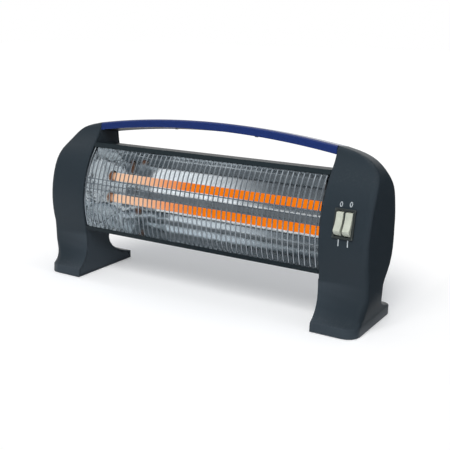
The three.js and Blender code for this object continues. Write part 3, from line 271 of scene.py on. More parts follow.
steatite = Finish("ceramic", (0.78, 0.75, 0.68), 0.62)
fired = steatite.speckle(180, 5)
scorched = steatite.ramped(fired, 0.35, 0.7)
steatite.feed("Base Color", steatite.tinted(scorched, (0.80, 0.77, 0.70), (0.70, 0.66, 0.58)))
steatite.feed("Roughness", 0.5 + 0.25 * fired)
steatite.relief(fired, 0.0001, 0.4)
steatite.shown_on(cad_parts["terminal_block"])

zinc = Finish("zinc_steel", (0.52, 0.53, 0.54), 0.4, 1.0)
zinc.feed("Base Color", zinc.tinted(zinc.speckle(60, 4), (0.47, 0.48, 0.50), (0.60, 0.60, 0.59)))
zinc.feed("Roughness", 0.28 + 0.2 * zinc.speckle(300, 4))
zinc.relief(zinc.speckle(700, 3), 0.00004, 0.3)
zinc_parts = ("thermal_cutout", "left_tube_bracket", "right_tube_bracket")
zinc.shown_on(*[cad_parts[name] for name in zinc_parts])

sleeve = Finish("lead_sleeve", (0.72, 0.70, 0.64), 0.85)
braid = sleeve.node("ShaderNodeTexWave", {"wave_type": "BANDS", "bands_direction": "DIAGONAL"},
                    {"Vector": sleeve.place(), "Scale": 420, "Distortion": 1.5})
sleeve.feed("Base Color", sleeve.tinted(braid, (0.62, 0.60, 0.54), (0.78, 0.76, 0.70)))
sleeve.relief(braid, 0.0002, 0.6)
sleeve.shown_on(*[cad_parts[name] for name in ("return_lead", "upper_feed_lead", "lower_feed_lead")])

brass = Finish("terminal_brass", (0.62, 0.45, 0.17), 0.3, 1.0)
tarnish = brass.speckle(220, 5)
dulled = brass.ramped(tarnish, 0.4, 0.75)
brass.feed("Base Color", brass.tinted(dulled, (0.64, 0.47, 0.18), (0.36, 0.25, 0.11)))
brass.feed("Roughness", 0.22 + 0.3 * tarnish)
brass.shown_on(*[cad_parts[f"switch_blade_{number}"] for number in (1, 2, 3, 4)])

# ---------------------------------------------------------------- cord bushing
# A moulded black bushing in the back of the right cap, where the mains lead enters. Its flange
# bears on the wall and its collar snaps in behind it.

bushing = finished(whole_copy("cord_gland"), "cord_bushing", "heater", "cord_gland", 40)
rubber.shown_on(bushing)

# ---------------------------------------------------------------- switch frame
# Two rocker switches share one nylon frame, snapped into the front of the right cap. The frame has
# a thin flange with rounded edges, and a housing behind it with a bay for each rocker.

switch_middle = (211.7 * mm, -38.673 * mm, 130.995 * mm)
switch_lean = radians(-13.09)
flange_columns = [-12.75, -9.9, -1.0, 1.0, 9.9, 12.75]
flange_rows = [-17.25, -14.6, 14.6, 17.25]
flange_front, flange_back = -1.2 * mm, 0.8 * mm
bay_floor = 10.5 * mm
housing = (22.4 * mm, 15.2 * mm, 31.6 * mm)
corner_round, rim_round = 1.6 * mm, 0.55 * mm


def set_in_front(shape, middle, lean):
    """Turns a piece that was made upright to the slope of the cap and moves it there."""
    bmesh.ops.rotate(shape, verts=shape.verts, matrix=Matrix.Rotation(lean, 3, "X"))
    bmesh.ops.translate(shape, verts=shape.verts, vec=middle)


def sharp_edges(shape, least=30):
    """The edges between two faces where the surface turns by more than an angle in degrees."""
    inside = [edge for edge in shape.edges if len(edge.link_faces) == 2]
    return [edge for edge in inside if edge.calc_face_angle() > radians(least)]


flange = bmesh.new()
bmesh.ops.create_grid(flange, x_segments=5, y_segments=3, size=0.5)
bmesh.ops.rotate(flange, verts=flange.verts, matrix=Matrix.Rotation(pi / 2, 3, "X"))
for vert in flange.verts:
    vert.co.x = flange_columns[round((vert.co.x + 0.5) * 5)] * mm
    vert.co.z = flange_rows[round((vert.co.z + 0.5) * 3)] * mm
    vert.co.y = flange_front
bays = [face for face in flange.faces if abs(face.calc_center_median().z) < 1 * mm
        and 2 * mm < abs(face.calc_center_median().x) < 9 * mm]
sunk = bmesh.ops.extrude_discrete_faces(flange, faces=bays)["faces"]
bay_verts = list({vert for face in sunk for vert in face.verts})
bmesh.ops.translate(flange, verts=bay_verts, vec=(0, bay_floor - flange_front, 0))
rim = [edge for edge in flange.edges if edge.is_boundary]
turned_back = bmesh.ops.extrude_edge_only(flange, edges=rim)["geom"]
bmesh.ops.translate(flange, verts=verts_among(turned_back), vec=(0, flange_back - flange_front, 0))
bmesh.ops.recalc_face_normals(flange, faces=flange.faces)
corners = [edge for edge in flange.edges if abs(edge.verts[0].co.y - edge.verts[1].co.y) > 1 * mm
           and abs(edge.verts[0].co.x) > 12 * mm]
rounded(flange, corners, corner_round, 5)
outer_edge = [edge for edge in sharp_edges(flange)
              if all(abs(vert.co.y - flange_front) < 1e-6 for vert in edge.verts)]
rounded(flange, outer_edge, rim_round, 3)
box = bmesh.ops.create_cube(flange, size=1)["verts"]
bmesh.ops.scale(flange, vec=housing, verts=box)
bmesh.ops.translate(flange, vec=(0, housing[1] / 2 + flange_back - 0.1 * mm, 0), verts=box)
lid = [face for face in {face for vert in box for face in vert.link_faces} if face.normal.y < -0.9]
bmesh.ops.delete(flange, geom=lid, context="FACES_ONLY")
set_in_front(flange, switch_middle, switch_lean)
switch_frame = finished(flange, "twin_switch_frame", "heater", "switch_frame", 40)

frame_nylon = Finish("frame_nylon", (0.026, 0.031, 0.030), 0.42)
satin = frame_nylon.speckle(1100, 3)
worn = frame_nylon.edge_turns(0.53, 0.62)
frame_nylon.feed("Base Color", frame_nylon.tinted(worn, (0.024, 0.029, 0.028), (0.06, 0.068, 0.066)))
frame_nylon.feed("Roughness", 0.36 + 0.14 * satin)
frame_nylon.relief(satin, 0.00004, 0.25)
frame_nylon.shown_on(switch_frame)

# ---------------------------------------------------------------- rockers
# Two pale nylon rockers, hollowed a little in front for the finger, turn on pins in the frame. They
# rest with their upper ends pressed in. The faces are smooth and slightly glossy from handling.

rocker_reach = 14.2 * mm
rocker_half = 4.3 * mm
rocker_lean = switch_lean - radians(12)
rocker_turn = 42
rocker_skirt = 2.5 * mm
rocker_spacing = 11.2 * mm
rocker_hollow, hollow_round, face_round = 2.3 * mm, 6 * mm, 0.7 * mm
pin_radius, pin_length = 1.5 * mm, 10.2 * mm
pivot_back, pivot_height = -34.777 * mm, 130.089 * mm

rocker_nylon = Finish("rocker_nylon", (0.47, 0.49, 0.41), 0.34)
handled = rocker_nylon.speckle(120, 4)
greyed = rocker_nylon.ramped(handled, 0.4, 0.75)
rocker_nylon.feed("Base Color", rocker_nylon.tinted(greyed, (0.47, 0.49, 0.41), (0.40, 0.42, 0.35)))
rocker_nylon.feed("Roughness", 0.26 + 0.2 * handled)
rocker_nylon.relief(rocker_nylon.speckle(1300, 2), 0.00003, 0.2)

for side, offset in (("left", -rocker_spacing / 2), ("right", rocker_spacing / 2)):
    rocker = bmesh.new()
    skirt_turn = degrees(asin(rocker_skirt / rocker_reach))
    turns = [*[rocker_turn * step / 6 for step in range(6, -1, -1)], -skirt_turn]
    ends = [(-rocker_reach * sin(radians(turn)), rocker_reach * cos(radians(turn))) for turn in turns]
    valley = (ends[0][0] + rocker_hollow, 0)
    outline = [valley, *ends, *[(y, -z) for y, z in reversed(ends)]]
    cheek = rocker.faces.new([rocker.verts.new((-rocker_half, y, z)) for y, z in outline])
    drawn = bmesh.ops.extrude_face_region(rocker, geom=[cheek])["geom"]
    bmesh.ops.translate(rocker, verts=verts_among(drawn), vec=(2 * rocker_half, 0, 0))
    bmesh.ops.recalc_face_normals(rocker, faces=rocker.faces)
    hollow = [edge for edge in rocker.edges if all(abs(vert.co.z) < 1e-6 for vert in edge.verts)]
    rounded(rocker, hollow, hollow_round, 8)
    rounded(rocker, sharp_edges(rocker, 45), face_round, 4)
    pin = bmesh.ops.create_cone(rocker, cap_ends=True, segments=20,
                                radius1=pin_radius, radius2=pin_radius, depth=pin_length)["verts"]
    bmesh.ops.rotate(rocker, verts=pin, matrix=Matrix.Rotation(pi / 2, 3, "Y"))
    set_in_front(rocker, (switch_middle[0] + offset, pivot_back, pivot_height), rocker_lean)
    face = finished(rocker, f"{side}_rocker_face", f"{side}_button", f"{side}_rocker", 40)
    rocker_nylon.shown_on(face)

# ---------------------------------------------------------------- switch marks
# A 0 above each rocker and an I below it, printed in light grey on the cap. The ink follows the
# bow of the cap and stands a hair above its grain.

bow_radius, bow_back, bow_height = 128 * mm, 86 * mm, 102 * mm
ink_height = 0.09 * mm
zero_half, stroke_width = (1.75 * mm, 2.9 * mm, 1), 0.8 * mm
one_half, one_round = (0.62 * mm, 4.1 * mm, 1), 0.3 * mm


def bow_at(height):
    """Front-to-back place, at a height, of the bow that the caps, lips and grille share."""
    return bow_back - sqrt(bow_radius ** 2 - (height - bow_height) ** 2)


ink = Finish("grey_ink", (0.42, 0.46, 0.48), 0.5)
thin_ink = ink.ramped(ink.speckle(1800, 3), 0.55, 0.75)
ink.feed("Base Color", ink.tinted(thin_ink, (0.44, 0.48, 0.50), (0.30, 0.33, 0.35)))
ink.relief(ink.speckle(1500, 2), 0.00004, 0.3)

marks = []
for name, across, height in (("left_zero", -7.1, 151.8), ("right_zero", 4.9, 152.7)):
    zero = bmesh.new()
    bmesh.ops.create_circle(zero, cap_ends=True, segments=36, radius=1)
    bmesh.ops.scale(zero, vec=zero_half, verts=zero.verts)
    stroke = bmesh.ops.inset_region(zero, faces=zero.faces, thickness=stroke_width,
                                    use_boundary=True, use_even_offset=True)["faces"]
    bmesh.ops.delete(zero, geom=[face for face in zero.faces if face not in stroke], context="FACES")
    marks.append((name, zero, across, height))
for name, across, height in (("left_one", -5.0, 109.2), ("right_one", 6.6, 109.3)):
    one = bmesh.new()
    bmesh.ops.create_grid(one, x_segments=1, y_segments=6, size=1)
    bmesh.ops.scale(one, vec=one_half, verts=one.verts)
    tips = [vert for vert in one.verts if len(vert.link_edges) == 2]
    bmesh.ops.bevel(one, geom=tips, offset=one_round, affect="VERTICES", segments=3, profile=0.5, material=-1)
    marks.append((name, one, across, height))
for name, mark, across, height in marks:
    bmesh.ops.rotate(mark, verts=mark.verts, matrix=Matrix.Rotation(pi / 2, 3, "X"))
    bmesh.ops.translate(mark, verts=mark.verts, vec=(switch_middle[0] + across * mm, 0, height * mm))
    for vert in mark.verts:
        vert.co.y = bow_at(vert.co.z) - ink_height
    bmesh.ops.recalc_face_normals(mark, faces=mark.faces)
    if next(iter(mark.faces)).normal.y > 0:
        bmesh.ops.reverse_faces(mark, faces=mark.faces)
    ink.shown_on(finished(mark, f"{name}_mark", "heater"))

# ---------------------------------------------------------------- casing
# One bent sheet of steel with baked enamel, a dark satin grey-green, closes the body behind. It is
# turned in above and below the grille as a lip, and two rows of slots are punched through its back.

enamel = Finish("casing_enamel", (0.012, 0.019, 0.022), 0.42)
enamel.feed("Specular IOR Level", 0.08)
peel = enamel.speckle(650, 3)
enamel.feed("Base Color", enamel.tinted(enamel.speckle(14, 3), (0.011, 0.017, 0.020), (0.015, 0.022, 0.026)))
enamel.feed("Roughness", 0.34 + 0.16 * peel)
enamel.relief(peel, 0.00007, 0.35)

casing = finished(whole_copy("rear_casing"), "enamelled_casing", "heater", "rear_casing", 38)
enamel.shown_on(casing)

# ---------------------------------------------------------------- reflector
# A trough of bright-rolled aluminium behind the tubes, bent up from 0.8 mm sheet and held in the
# casing. The rolling leaves faint lines along it, and the bending leaves it a little wavy. The
# section is the outside of the sheet, so its wall lies towards the tubes.

body_middle = 125.495
sheet = 0.8 * mm
trough_low, trough_rear, trough_flat = 67.1, 37.0, 6.0
lower_bend, upper_bend = 6, 9
casing_top, casing_slope, top_gap = 185.19, radians(8.5), 1.45
trough_half = 178.7 * mm

polished = Finish("polished_aluminium", (0.80, 0.83, 0.85), 0.12, 1.0)
rolled = polished.speckle(70, 4, (0.05, 1, 1))
smears = polished.speckle(14, 3)
polished.feed("Base Color", polished.tinted(smears, (0.84, 0.87, 0.89), (0.72, 0.76, 0.78)))
polished.feed("Roughness", 0.05 + 0.08 * rolled + 0.05 * smears)
polished.relief(0.75 * polished.speckle(30, 2) + 0.25 * rolled, 0.0010, 0.3)


def swept_line(shape, points):
    """Joins points on the line of a section, y and z in millimetres, into a row of edges."""
    verts = [shape.verts.new((0, y * mm, z * mm)) for y, z in points]
    return [shape.edges.new(pair) for pair in zip(verts, verts[1:])]


def curve_between(start, control, end, steps=20):
    """Points on the easy bend that a sheet takes from one place to another."""
    return [(
        (1 - share) ** 2 * start[0] + 2 * share * (1 - share) * control[0] + share ** 2 * end[0],
        (1 - share) ** 2 * start[1] + 2 * share * (1 - share) * control[1] + share ** 2 * end[1],
    ) for share in [step / steps for step in range(steps + 1)]]


def drawn_along(shape, edges, half):
    """Draws a line of edges out into a sheet along X, to both sides of the middle."""
    bmesh.ops.translate(shape, verts=shape.verts, vec=(-half, 0, 0))
    drawn = bmesh.ops.extrude_edge_only(shape, edges=edges)["geom"]
    bmesh.ops.translate(shape, verts=verts_among(drawn), vec=(2 * half, 0, 0))


grille_low, grille_high = 67.6, 183.39
grille_back, grille_gap = 4.7, 0.8
low_front = bow_at(grille_low * mm) / mm + grille_back + grille_gap
high_front = bow_at(grille_high * mm) / mm + grille_back + grille_gap
trough_high = casing_top - tan(casing_slope) * (high_front - bow_at(casing_top * mm) / mm) - top_gap
trough = bmesh.new()
lower_flat = (trough_rear, body_middle - trough_flat)
upper_flat = (trough_rear, body_middle + trough_flat)
section = [
    *curve_between((low_front, trough_low), (trough_rear, trough_low + lower_bend), lower_flat),
    *curve_between(upper_flat, (trough_rear, trough_high - upper_bend), (high_front, trough_high)),
]
drawn_along(trough, swept_line(trough, section), trough_half)
bmesh.ops.recalc_face_normals(trough, faces=trough.faces)
lowest = min(trough.faces, key=lambda face: face.calc_center_median().z)
if lowest.normal.z > 0:
    bmesh.ops.reverse_faces(trough, faces=trough.faces)
bmesh.ops.solidify(trough, geom=trough.faces, thickness=sheet)
reflector = finished(trough, "trough_reflector", "heater", "reflector", 60)
polished.shown_on(reflector)

end_polish = Finish("end_plate_polish", (0.70, 0.75, 0.78), 0.06, 1.0)
dents = end_polish.speckle(38, 3)
blotches = end_polish.speckle(90, 3)
end_polish.feed("Base Color", end_polish.tinted(blotches, (0.82, 0.86, 0.88), (0.62, 0.67, 0.70)))
end_polish.feed("Roughness", 0.03 + 0.06 * dents)
end_polish.relief(dents, 0.0035, 0.9)
for side in ("left", "right"):
    node = f"{side}_reflector_end"
    plate = finished(whole_copy(node), f"{side}_end_plate", "heater", node, 30)
    end_polish.shown_on(plate)

# ---------------------------------------------------------------- tubes
# Two tubes of milky quartz glass, ground flat at their ends, each with a wound element inside. With
# the heater on, the glass glows orange, dull at both ends; a painted highlight makes it pale at the left.

lower_tube, upper_tube = (7.2 * mm, 104.195 * mm), (12.7 * mm, 133.995 * mm)
tube_end, tube_outer, tube_wall = 185.8 * mm, 5.75 * mm, 1 * mm
tube_chamfer = 0.3 * mm
coil_half, coil_pitch = 164 * mm, 2.2 * mm


def turned(shape, profile, steps, place):
    """Turns a line of edges, x and distance from the axis in metres, round the axis of a tube."""
    verts = [shape.verts.new((x, 0, out)) for x, out in profile]
    edges = [shape.edges.new(pair) for pair in zip(verts, verts[1:])]
    bmesh.ops.spin(shape, geom=verts + edges, cent=(0, 0, 0), axis=(1, 0, 0),
                   angle=2 * pi, steps=steps, use_merge=True)
    bmesh.ops.remove_doubles(shape, verts=shape.verts, dist=1e-6)
    bmesh.ops.recalc_face_normals(shape, faces=shape.faces)
    bmesh.ops.translate(shape, verts=shape.verts, vec=(0, *place))


quartz = Finish("milky_quartz", (0.05, 0.018, 0.006), 0.35)
quartz.feed("Specular IOR Level", 0.03)
along = quartz.node("ShaderNodeSeparateXYZ", {}, {0: quartz.place()}, "X")
inward = quartz.node("ShaderNodeMath", {"operation": "ABSOLUTE"}, {0: along})
lit = quartz.ramped(inward, 0.172, 0.160)
winding = quartz.node("ShaderNodeMath", {"operation": "SINE"}, {0: along * (2 * pi / coil_pitch)})
# The glow is pale at the left, where a painted highlight lies on it, and orange from the middle on.
highlight_fade = quartz.ramped(along + 0.03 * quartz.speckle(25), -0.125, -0.005)
glow_with_highlight = quartz.tinted(highlight_fade, (0.87, 0.64, 0.45), (0.90, 0.20, 0.0))
glow = quartz.tinted(0.22 + 0.20 * winding, glow_with_highlight, (0.64, 0.12, 0.0))
quartz.feed("Emission Color", quartz.tinted(lit, (0.12, 0.045, 0.02), glow))
quartz.feed("Emission Strength", 1.0)
quartz.feed("Roughness", 0.25 + 0.15 * quartz.speckle(400))
quartz.feed("Alpha", 0.88)

for name, place in (("lower", lower_tube), ("upper", upper_tube)):
    tube = bmesh.new()
    inner, ground = tube_outer - tube_wall, tube_outer - tube_chamfer
    profile = [
        (-tube_end, inner), (-tube_end, ground), (-tube_end + tube_chamfer, tube_outer),
        *[(x * mm, tube_outer) for x in range(-150, 151, 50)],
        (tube_end - tube_chamfer, tube_outer), (tube_end, ground), (tube_end, inner), (-tube_end, inner),
    ]
    turned(tube, profile, 32, place)
    piece = finished(tube, f"{name}_milky_tube", "heater", f"{name}_quartz_tube", 30)
    piece.visible_glossy = False
    quartz.shown_on(piece)

# ---------------------------------------------------------------- wound elements
# Resistance wire wound into a close coil fills each tube, with a straight tail at each end. It is
# what gives the heat, and glows through the milky glass.

coil_out, coil_wire = 4.2 * mm, 0.45 * mm
steps_a_turn = 12
tail_length, tail_middle = 25 * mm, coil_half + 9 * mm

element = Finish("glowing_element", (0.10, 0.05, 0.03), 0.6)
oxide = element.speckle(500, 3)
element.feed("Emission Color", element.tinted(oxide, (1.0, 0.30, 0.02), (1.0, 0.42, 0.05)))
element.feed("Emission Strength", 1.3)
element.feed("Roughness", 0.5 + 0.2 * oxide)

for name, place in (("lower", lower_tube), ("upper", upper_tube)):
    coil = bmesh.new()
    bmesh.ops.create_circle(coil, segments=5, radius=coil_wire)
    bmesh.ops.rotate(coil, verts=coil.verts, matrix=Matrix.Rotation(pi / 2, 3, "X"))
    bmesh.ops.translate(coil, verts=coil.verts, vec=(-coil_half, 0, coil_out - coil_wire))
    turns = round(2 * coil_half / coil_pitch)
    steps = turns * steps_a_turn
    bmesh.ops.spin(coil, geom=coil.verts[:] + coil.edges[:], cent=(0, 0, 0), axis=(1, 0, 0),
                   dvec=(2 * coil_half / steps, 0, 0), angle=turns * 2 * pi, steps=steps)
    bmesh.ops.holes_fill(coil, edges=[edge for edge in coil.edges if edge.is_boundary], sides=5)
    for end in (-1, 1):
        tail = bmesh.ops.create_cone(coil, cap_ends=True, segments=8,
                                     radius1=coil_wire, radius2=coil_wire, depth=tail_length)["verts"]
        bmesh.ops.rotate(coil, verts=tail, matrix=Matrix.Rotation(pi / 2, 3, "Y"))
        bmesh.ops.translate(coil, verts=tail, vec=(end * tail_middle, 0, 0))
    bmesh.ops.recalc_face_normals(coil, faces=coil.faces)
    bmesh.ops.translate(coil, verts=coil.verts, vec=(0, *place))
    piece = finished(coil, f"{name}_wound_element", "heater", f"{name}_heating_coil", 60)
    piece.visible_glossy = False
    element.shown_on(piece)

# ---------------------------------------------------------------- ceramic holders
# Each end of a tube sits in a turned steatite holder with a collar, and the holders are clamped
# between the inner cover and a zinc-plated bracket. The lead leaves by the small hole in the back.

ceramic_start, ceramic_end = 173.8 * mm, 196.8 * mm
collar_start, collar_end, collar_out = 185.3 * mm, 187.8 * mm, 10 * mm
body_out, bore, lead_hole = 8 * mm, 6.05 * mm, 1.6 * mm
shoulder = tube_end + 0.3 * mm
chamfer = 0.4 * mm

for side, sign in (("left", -1), ("right", 1)):
    for name, place in (("lower", lower_tube), ("upper", upper_tube)):
        holder = bmesh.new()
        profile = [
            (ceramic_start, bore), (ceramic_start, body_out - chamfer), (ceramic_start + chamfer, body_out),
            (collar_start, body_out), (collar_start, collar_out - chamfer),
            (collar_start + chamfer, collar_out), (collar_end - chamfer, collar_out),
            (collar_end, collar_out - chamfer), (collar_end, body_out),
            (ceramic_end - chamfer, body_out), (ceramic_end, body_out - chamfer),
            (ceramic_end, lead_hole), (shoulder, lead_hole), (shoulder, bore), (ceramic_start, bore),
        ]
        turned(holder, [(sign * x, out) for x, out in profile], 32, place)
        node = f"{name}_{side}_ceramic"
        steatite.shown_on(finished(holder, f"{name}_{side}_holder", "heater", node, 30))

# ---------------------------------------------------------------- grille
# Fifty upright wires of bright steel, bowed like the fronts of the caps, are welded to three thin
# cross wires and to a thicker rail above and below. The lips of the casing hold the rails.

wire, rail, cross_wire = 1.7 * mm, 2.2 * mm, 1.4 * mm
wire_count = 50
wire_pitch = 2 * inner_plane / wire_count
grille_end = 180.6 * mm
cross_raise, cross_spacing = 7.3, 6.8
bow_inset, end_inset = 0.2 * mm, 1.7 * mm
weld = 0.3 * mm

chrome = Finish("bright_wire", (0.56, 0.60, 0.63), 0.2, 1.0)
drawing = chrome.speckle(700, 3, (1, 1, 0.08))
haze = chrome.speckle(35, 4)
hazy = chrome.ramped(haze, 0.35, 0.7)
chrome.feed("Base Color", chrome.tinted(hazy, (0.34, 0.38, 0.42), (0.45, 0.50, 0.54)))
chrome.feed("Roughness", 0.10 + 0.12 * drawing + 0.06 * haze)
chrome.relief(drawing, 0.00003, 0.25)

grille_middle, grille_half = (grille_low + grille_high) / 2 * mm, (grille_high - grille_low) / 2 * mm


def bow_inset_at(height):
    """How far the wires lie behind the bow: little at the middle, more under the lips."""
    share = ((height - grille_middle) / grille_half) ** 4
    return bow_inset + (end_inset - bow_inset) * share


net = bmesh.new()
bmesh.ops.create_cone(net, cap_ends=True, segments=10, radius1=wire / 2, radius2=wire / 2,
                      depth=(grille_high - grille_low) * mm - rail)
lengthwise = [edge for edge in net.edges if abs(edge.verts[0].co.z - edge.verts[1].co.z) > wire]
bmesh.ops.subdivide_edges(net, edges=lengthwise, cuts=19)
bmesh.ops.translate(net, verts=net.verts, vec=(-inner_plane + wire_pitch / 2, 0, grille_middle))
upright = net.verts[:] + net.edges[:] + net.faces[:]
for number in range(1, wire_count):
    copied = bmesh.ops.duplicate(net, geom=upright)["geom"]
    bmesh.ops.translate(net, verts=verts_among(copied), vec=(number * wire_pitch, 0, 0))
for vert in net.verts:
    vert.co.y += bow_at(vert.co.z) + bow_inset_at(vert.co.z) + wire / 2

behind = wire / 2 + cross_wire / 2 - weld
bars = [(grille_low * mm + rail / 2, rail, 0), (grille_high * mm - rail / 2, rail, 0)]
for step in (-1, 0, 1):
    bars.append(((body_middle + cross_raise + cross_spacing * step) * mm, cross_wire, behind))
cross_net = bmesh.new()
for height, size, depth in bars:
    bar = bmesh.ops.create_cone(cross_net, cap_ends=True, segments=12,
                                radius1=size / 2, radius2=size / 2, depth=2 * grille_end)["verts"]
    bmesh.ops.rotate(cross_net, verts=bar, matrix=Matrix.Rotation(pi / 2, 3, "Y"))
    front = bow_at(height) + bow_inset_at(height) + wire / 2
    bmesh.ops.translate(cross_net, verts=bar, vec=(0, front + depth, height))
chrome.shown_on(finished(net, "grille_wires", "heater", "front_grille", 50),
                finished(cross_net, "grille_cross_wires", "heater", None, 50))

# ---------------------------------------------------------------- handle
# A deep blue arch in glossy ABS joins the tops of the caps. It is a channel, open below, with its
# upper edges rounded for the hand, and a strip screwed into it closes it underneath.

handle_radius, handle_top = 1176 * mm, 226 * mm
handle_tilt = radians(10.5)
handle_depth, handle_side, handle_wall, handle_setback = 36 * mm, 10.9 * mm, 2.5 * mm, 3 * mm
front_round, rear_round, rim_width = 3.5 * mm, 6 * mm, 0.5 * mm
handle_half = 180.7 * mm

blue = Finish("handle_blue", (0.008, 0.023, 0.115), 0.25)
flow = blue.speckle(14, 2, (0.3, 1, 1))
touched = blue.speckle(90, 3)
blue.feed("Base Color", blue.tinted(flow, (0.007, 0.021, 0.105), (0.010, 0.026, 0.13)))
blue.feed("Roughness", 0.18 + 0.10 * touched)
blue.feed("Specular IOR Level", 0.4)
blue.feed("Coat Weight", 0.06 + 0.08 * flow)
blue.feed("Coat Roughness", 0.15)
blue.relief(blue.speckle(900, 2), 0.00002, 0.2)


def arch_drop(x):
    """How far the arch has fallen at a distance from its crown."""
    return handle_radius - sqrt(handle_radius ** 2 - x * x)


grip = bmesh.new()
section = [(0, handle_side), (0, 0), (handle_depth, 0), (handle_depth, handle_side)]
verts = [grip.verts.new((-handle_half, back, -down)) for back, down in section]
for pair in zip(verts, verts[1:]):
    grip.edges.new(pair)
bmesh.ops.bevel(grip, geom=[verts[1]], offset=front_round, affect="VERTICES",
                segments=6, profile=0.5, material=-1)
top_rear = [vert for vert in grip.verts if vert.co.y > handle_depth - 1e-6 and vert.co.z > -1e-6]
bmesh.ops.bevel(grip, geom=top_rear, offset=rear_round, affect="VERTICES",
                segments=7, profile=0.5, material=-1)
drawn_edges = bmesh.ops.extrude_edge_only(grip, edges=grip.edges[:])["geom"]
bmesh.ops.translate(grip, verts=verts_among(drawn_edges), vec=(2 * handle_half, 0, 0))
long_edges = [edge for edge in grip.edges if abs(edge.verts[0].co.x - edge.verts[1].co.x) > handle_half]
bmesh.ops.subdivide_edges(grip, edges=long_edges, cuts=35)
bmesh.ops.recalc_face_normals(grip, faces=grip.faces)
if max(grip.faces, key=lambda face: face.calc_center_median().z).normal.z < 0:
    bmesh.ops.reverse_faces(grip, faces=grip.faces)
bmesh.ops.rotate(grip, verts=grip.verts, matrix=Matrix.Rotation(-handle_tilt, 3, "X"))
for vert in grip.verts:
    vert.co += Vector((0, handle_setback, handle_top - arch_drop(vert.co.x)))
handle = finished(grip, "handle_arch", "heater", "handle_grip", 50)
wall = handle.modifiers.new("wall", "SOLIDIFY")
wall.thickness, wall.offset, wall.use_even_offset = handle_wall, -1, True
rims = handle.modifiers.new("broken_rims", "BEVEL")
rims.width, rims.segments, rims.limit_method, rims.angle_limit = rim_width, 3, "ANGLE", radians(60)
handle.modifiers.new("even_shading", "WEIGHTED_NORMAL")
blue.shown_on(handle)
strip = finished(whole_copy("handle_liner"), "handle_strip", "heater", "handle_liner", 40)
dark_plastic.shown_on(strip)

# ---------------------------------------------------------------- screws
# Zinc-plated pan-head screws hold the inner covers and the casing. Each has a rounded head, a
# straight shank and a short point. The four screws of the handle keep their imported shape.

screw_head, screw_rise, screw_shank = 2.8 * mm, 1.5 * mm, 1.45 * mm
point_length, point_end = 1.5 * mm, 0.2 * mm

for name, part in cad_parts.items():
    if not name.endswith(("screw_1", "screw_2", "screw_3")):
        continue
    low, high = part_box(name)
    sign = -1 if high.x < 0 else 1
    near, far = (low.x, high.x) if sign > 0 else (high.x, low.x)
    length = abs(far - near) - screw_rise
    pin = bmesh.new()
    profile = [
        (0, 0), (0, 0.45 * screw_head), (0.12 * screw_rise, 0.72 * screw_head),
        (0.4 * screw_rise, 0.93 * screw_head), (0.75 * screw_rise, screw_head),
        (screw_rise, screw_head), (screw_rise, screw_shank),
        (screw_rise + length - point_length, screw_shank),
        (screw_rise + length, point_end), (screw_rise + length, 0),
    ]
    turned(pin, profile, 24, (0, 0))
    for vert in pin.verts:
        vert.co.x = near + sign * vert.co.x
    bmesh.ops.translate(pin, verts=pin.verts, vec=(0, (low.y + high.y) / 2, (low.z + high.z) / 2))
    bmesh.ops.recalc_face_normals(pin, faces=pin.faces)
    screw = finished(pin, f"{name}_pan_head", "heater", name, 35)
    zinc.shown_on(screw)
zinc.shown_on(*[part for name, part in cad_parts.items()
                if name.endswith(("tongue_screw", "liner_screw"))])

# ---------------------------------------------------------------- studio
# A white table that runs out to white on all sides, a large soft lamp above and in front on the
# right, and weaker ones at the right and behind. Four cards show only in reflections: a graded one
# on the table in front, a grey curtain farther off, and black ones to the right and behind.

paper = Finish("studio_paper", (0.86, 0.87, 0.89), 0.9)
white_from, white_to = 0.20, 0.38


def white_shader(base, strength):
    """A second shader of the paper, which gives off some light of its own."""
    sockets = {"Base Color": (base, base, base, 1), "Roughness": 0.9}
    sockets.update({"Emission Color": (1, 1, 1, 1), "Emission Strength": strength})
    return paper.node("ShaderNodeBsdfPrincipled", {}, sockets)


def shaders_mixed(factor, first, second):
    """The first shader where the factor is 0, the second where it is 1."""
    return paper.node("ShaderNodeMixShader", {}, {0: factor, 1: first, 2: second})


seen = paper.node("ShaderNodeLightPath", output="Is Camera Ray")
mirrored = paper.node("ShaderNodeLightPath", output="Is Glossy Ray")
through = paper.node("ShaderNodeLightPath", output="Is Transmission Ray")
away = paper.node("ShaderNodeVectorMath", {"operation": "LENGTH"}, {0: paper.place()}, "Value")
runs_out = paper.ramped(away, white_from, white_to)
table = shaders_mixed(runs_out, white_shader(0.86, 0.19), white_shader(0.0, 1.0))
plain = Value(paper, paper.shader.outputs[0])
paper.join(paper.surface, shaders_mixed(seen + mirrored + through, plain, table))


def flat_sheet(name, size, place, turn):
    """A flat sheet for the studio, which isn't part of the heater."""
    shape = bmesh.new()
    bmesh.ops.create_grid(shape, x_segments=1, y_segments=1, size=0.5)
    bmesh.ops.scale(shape, vec=(*size, 1), verts=shape.verts)
    bmesh.ops.rotate(shape, verts=shape.verts, matrix=turn)
    bmesh.ops.translate(shape, verts=shape.verts, vec=place)
    mesh = bpy.data.meshes.new(name)
    shape.to_mesh(mesh)
    shape.free()
    laid = bpy.data.objects.new(name, mesh)
    bpy.context.scene.collection.objects.link(laid)
    return laid


level, standing = Matrix.Identity(3), Matrix.Rotation(pi / 2, 3, "X")
floor = flat_sheet("studio_floor", (12, 12), (0, 0, 0), level)
paper.shown_on(floor)

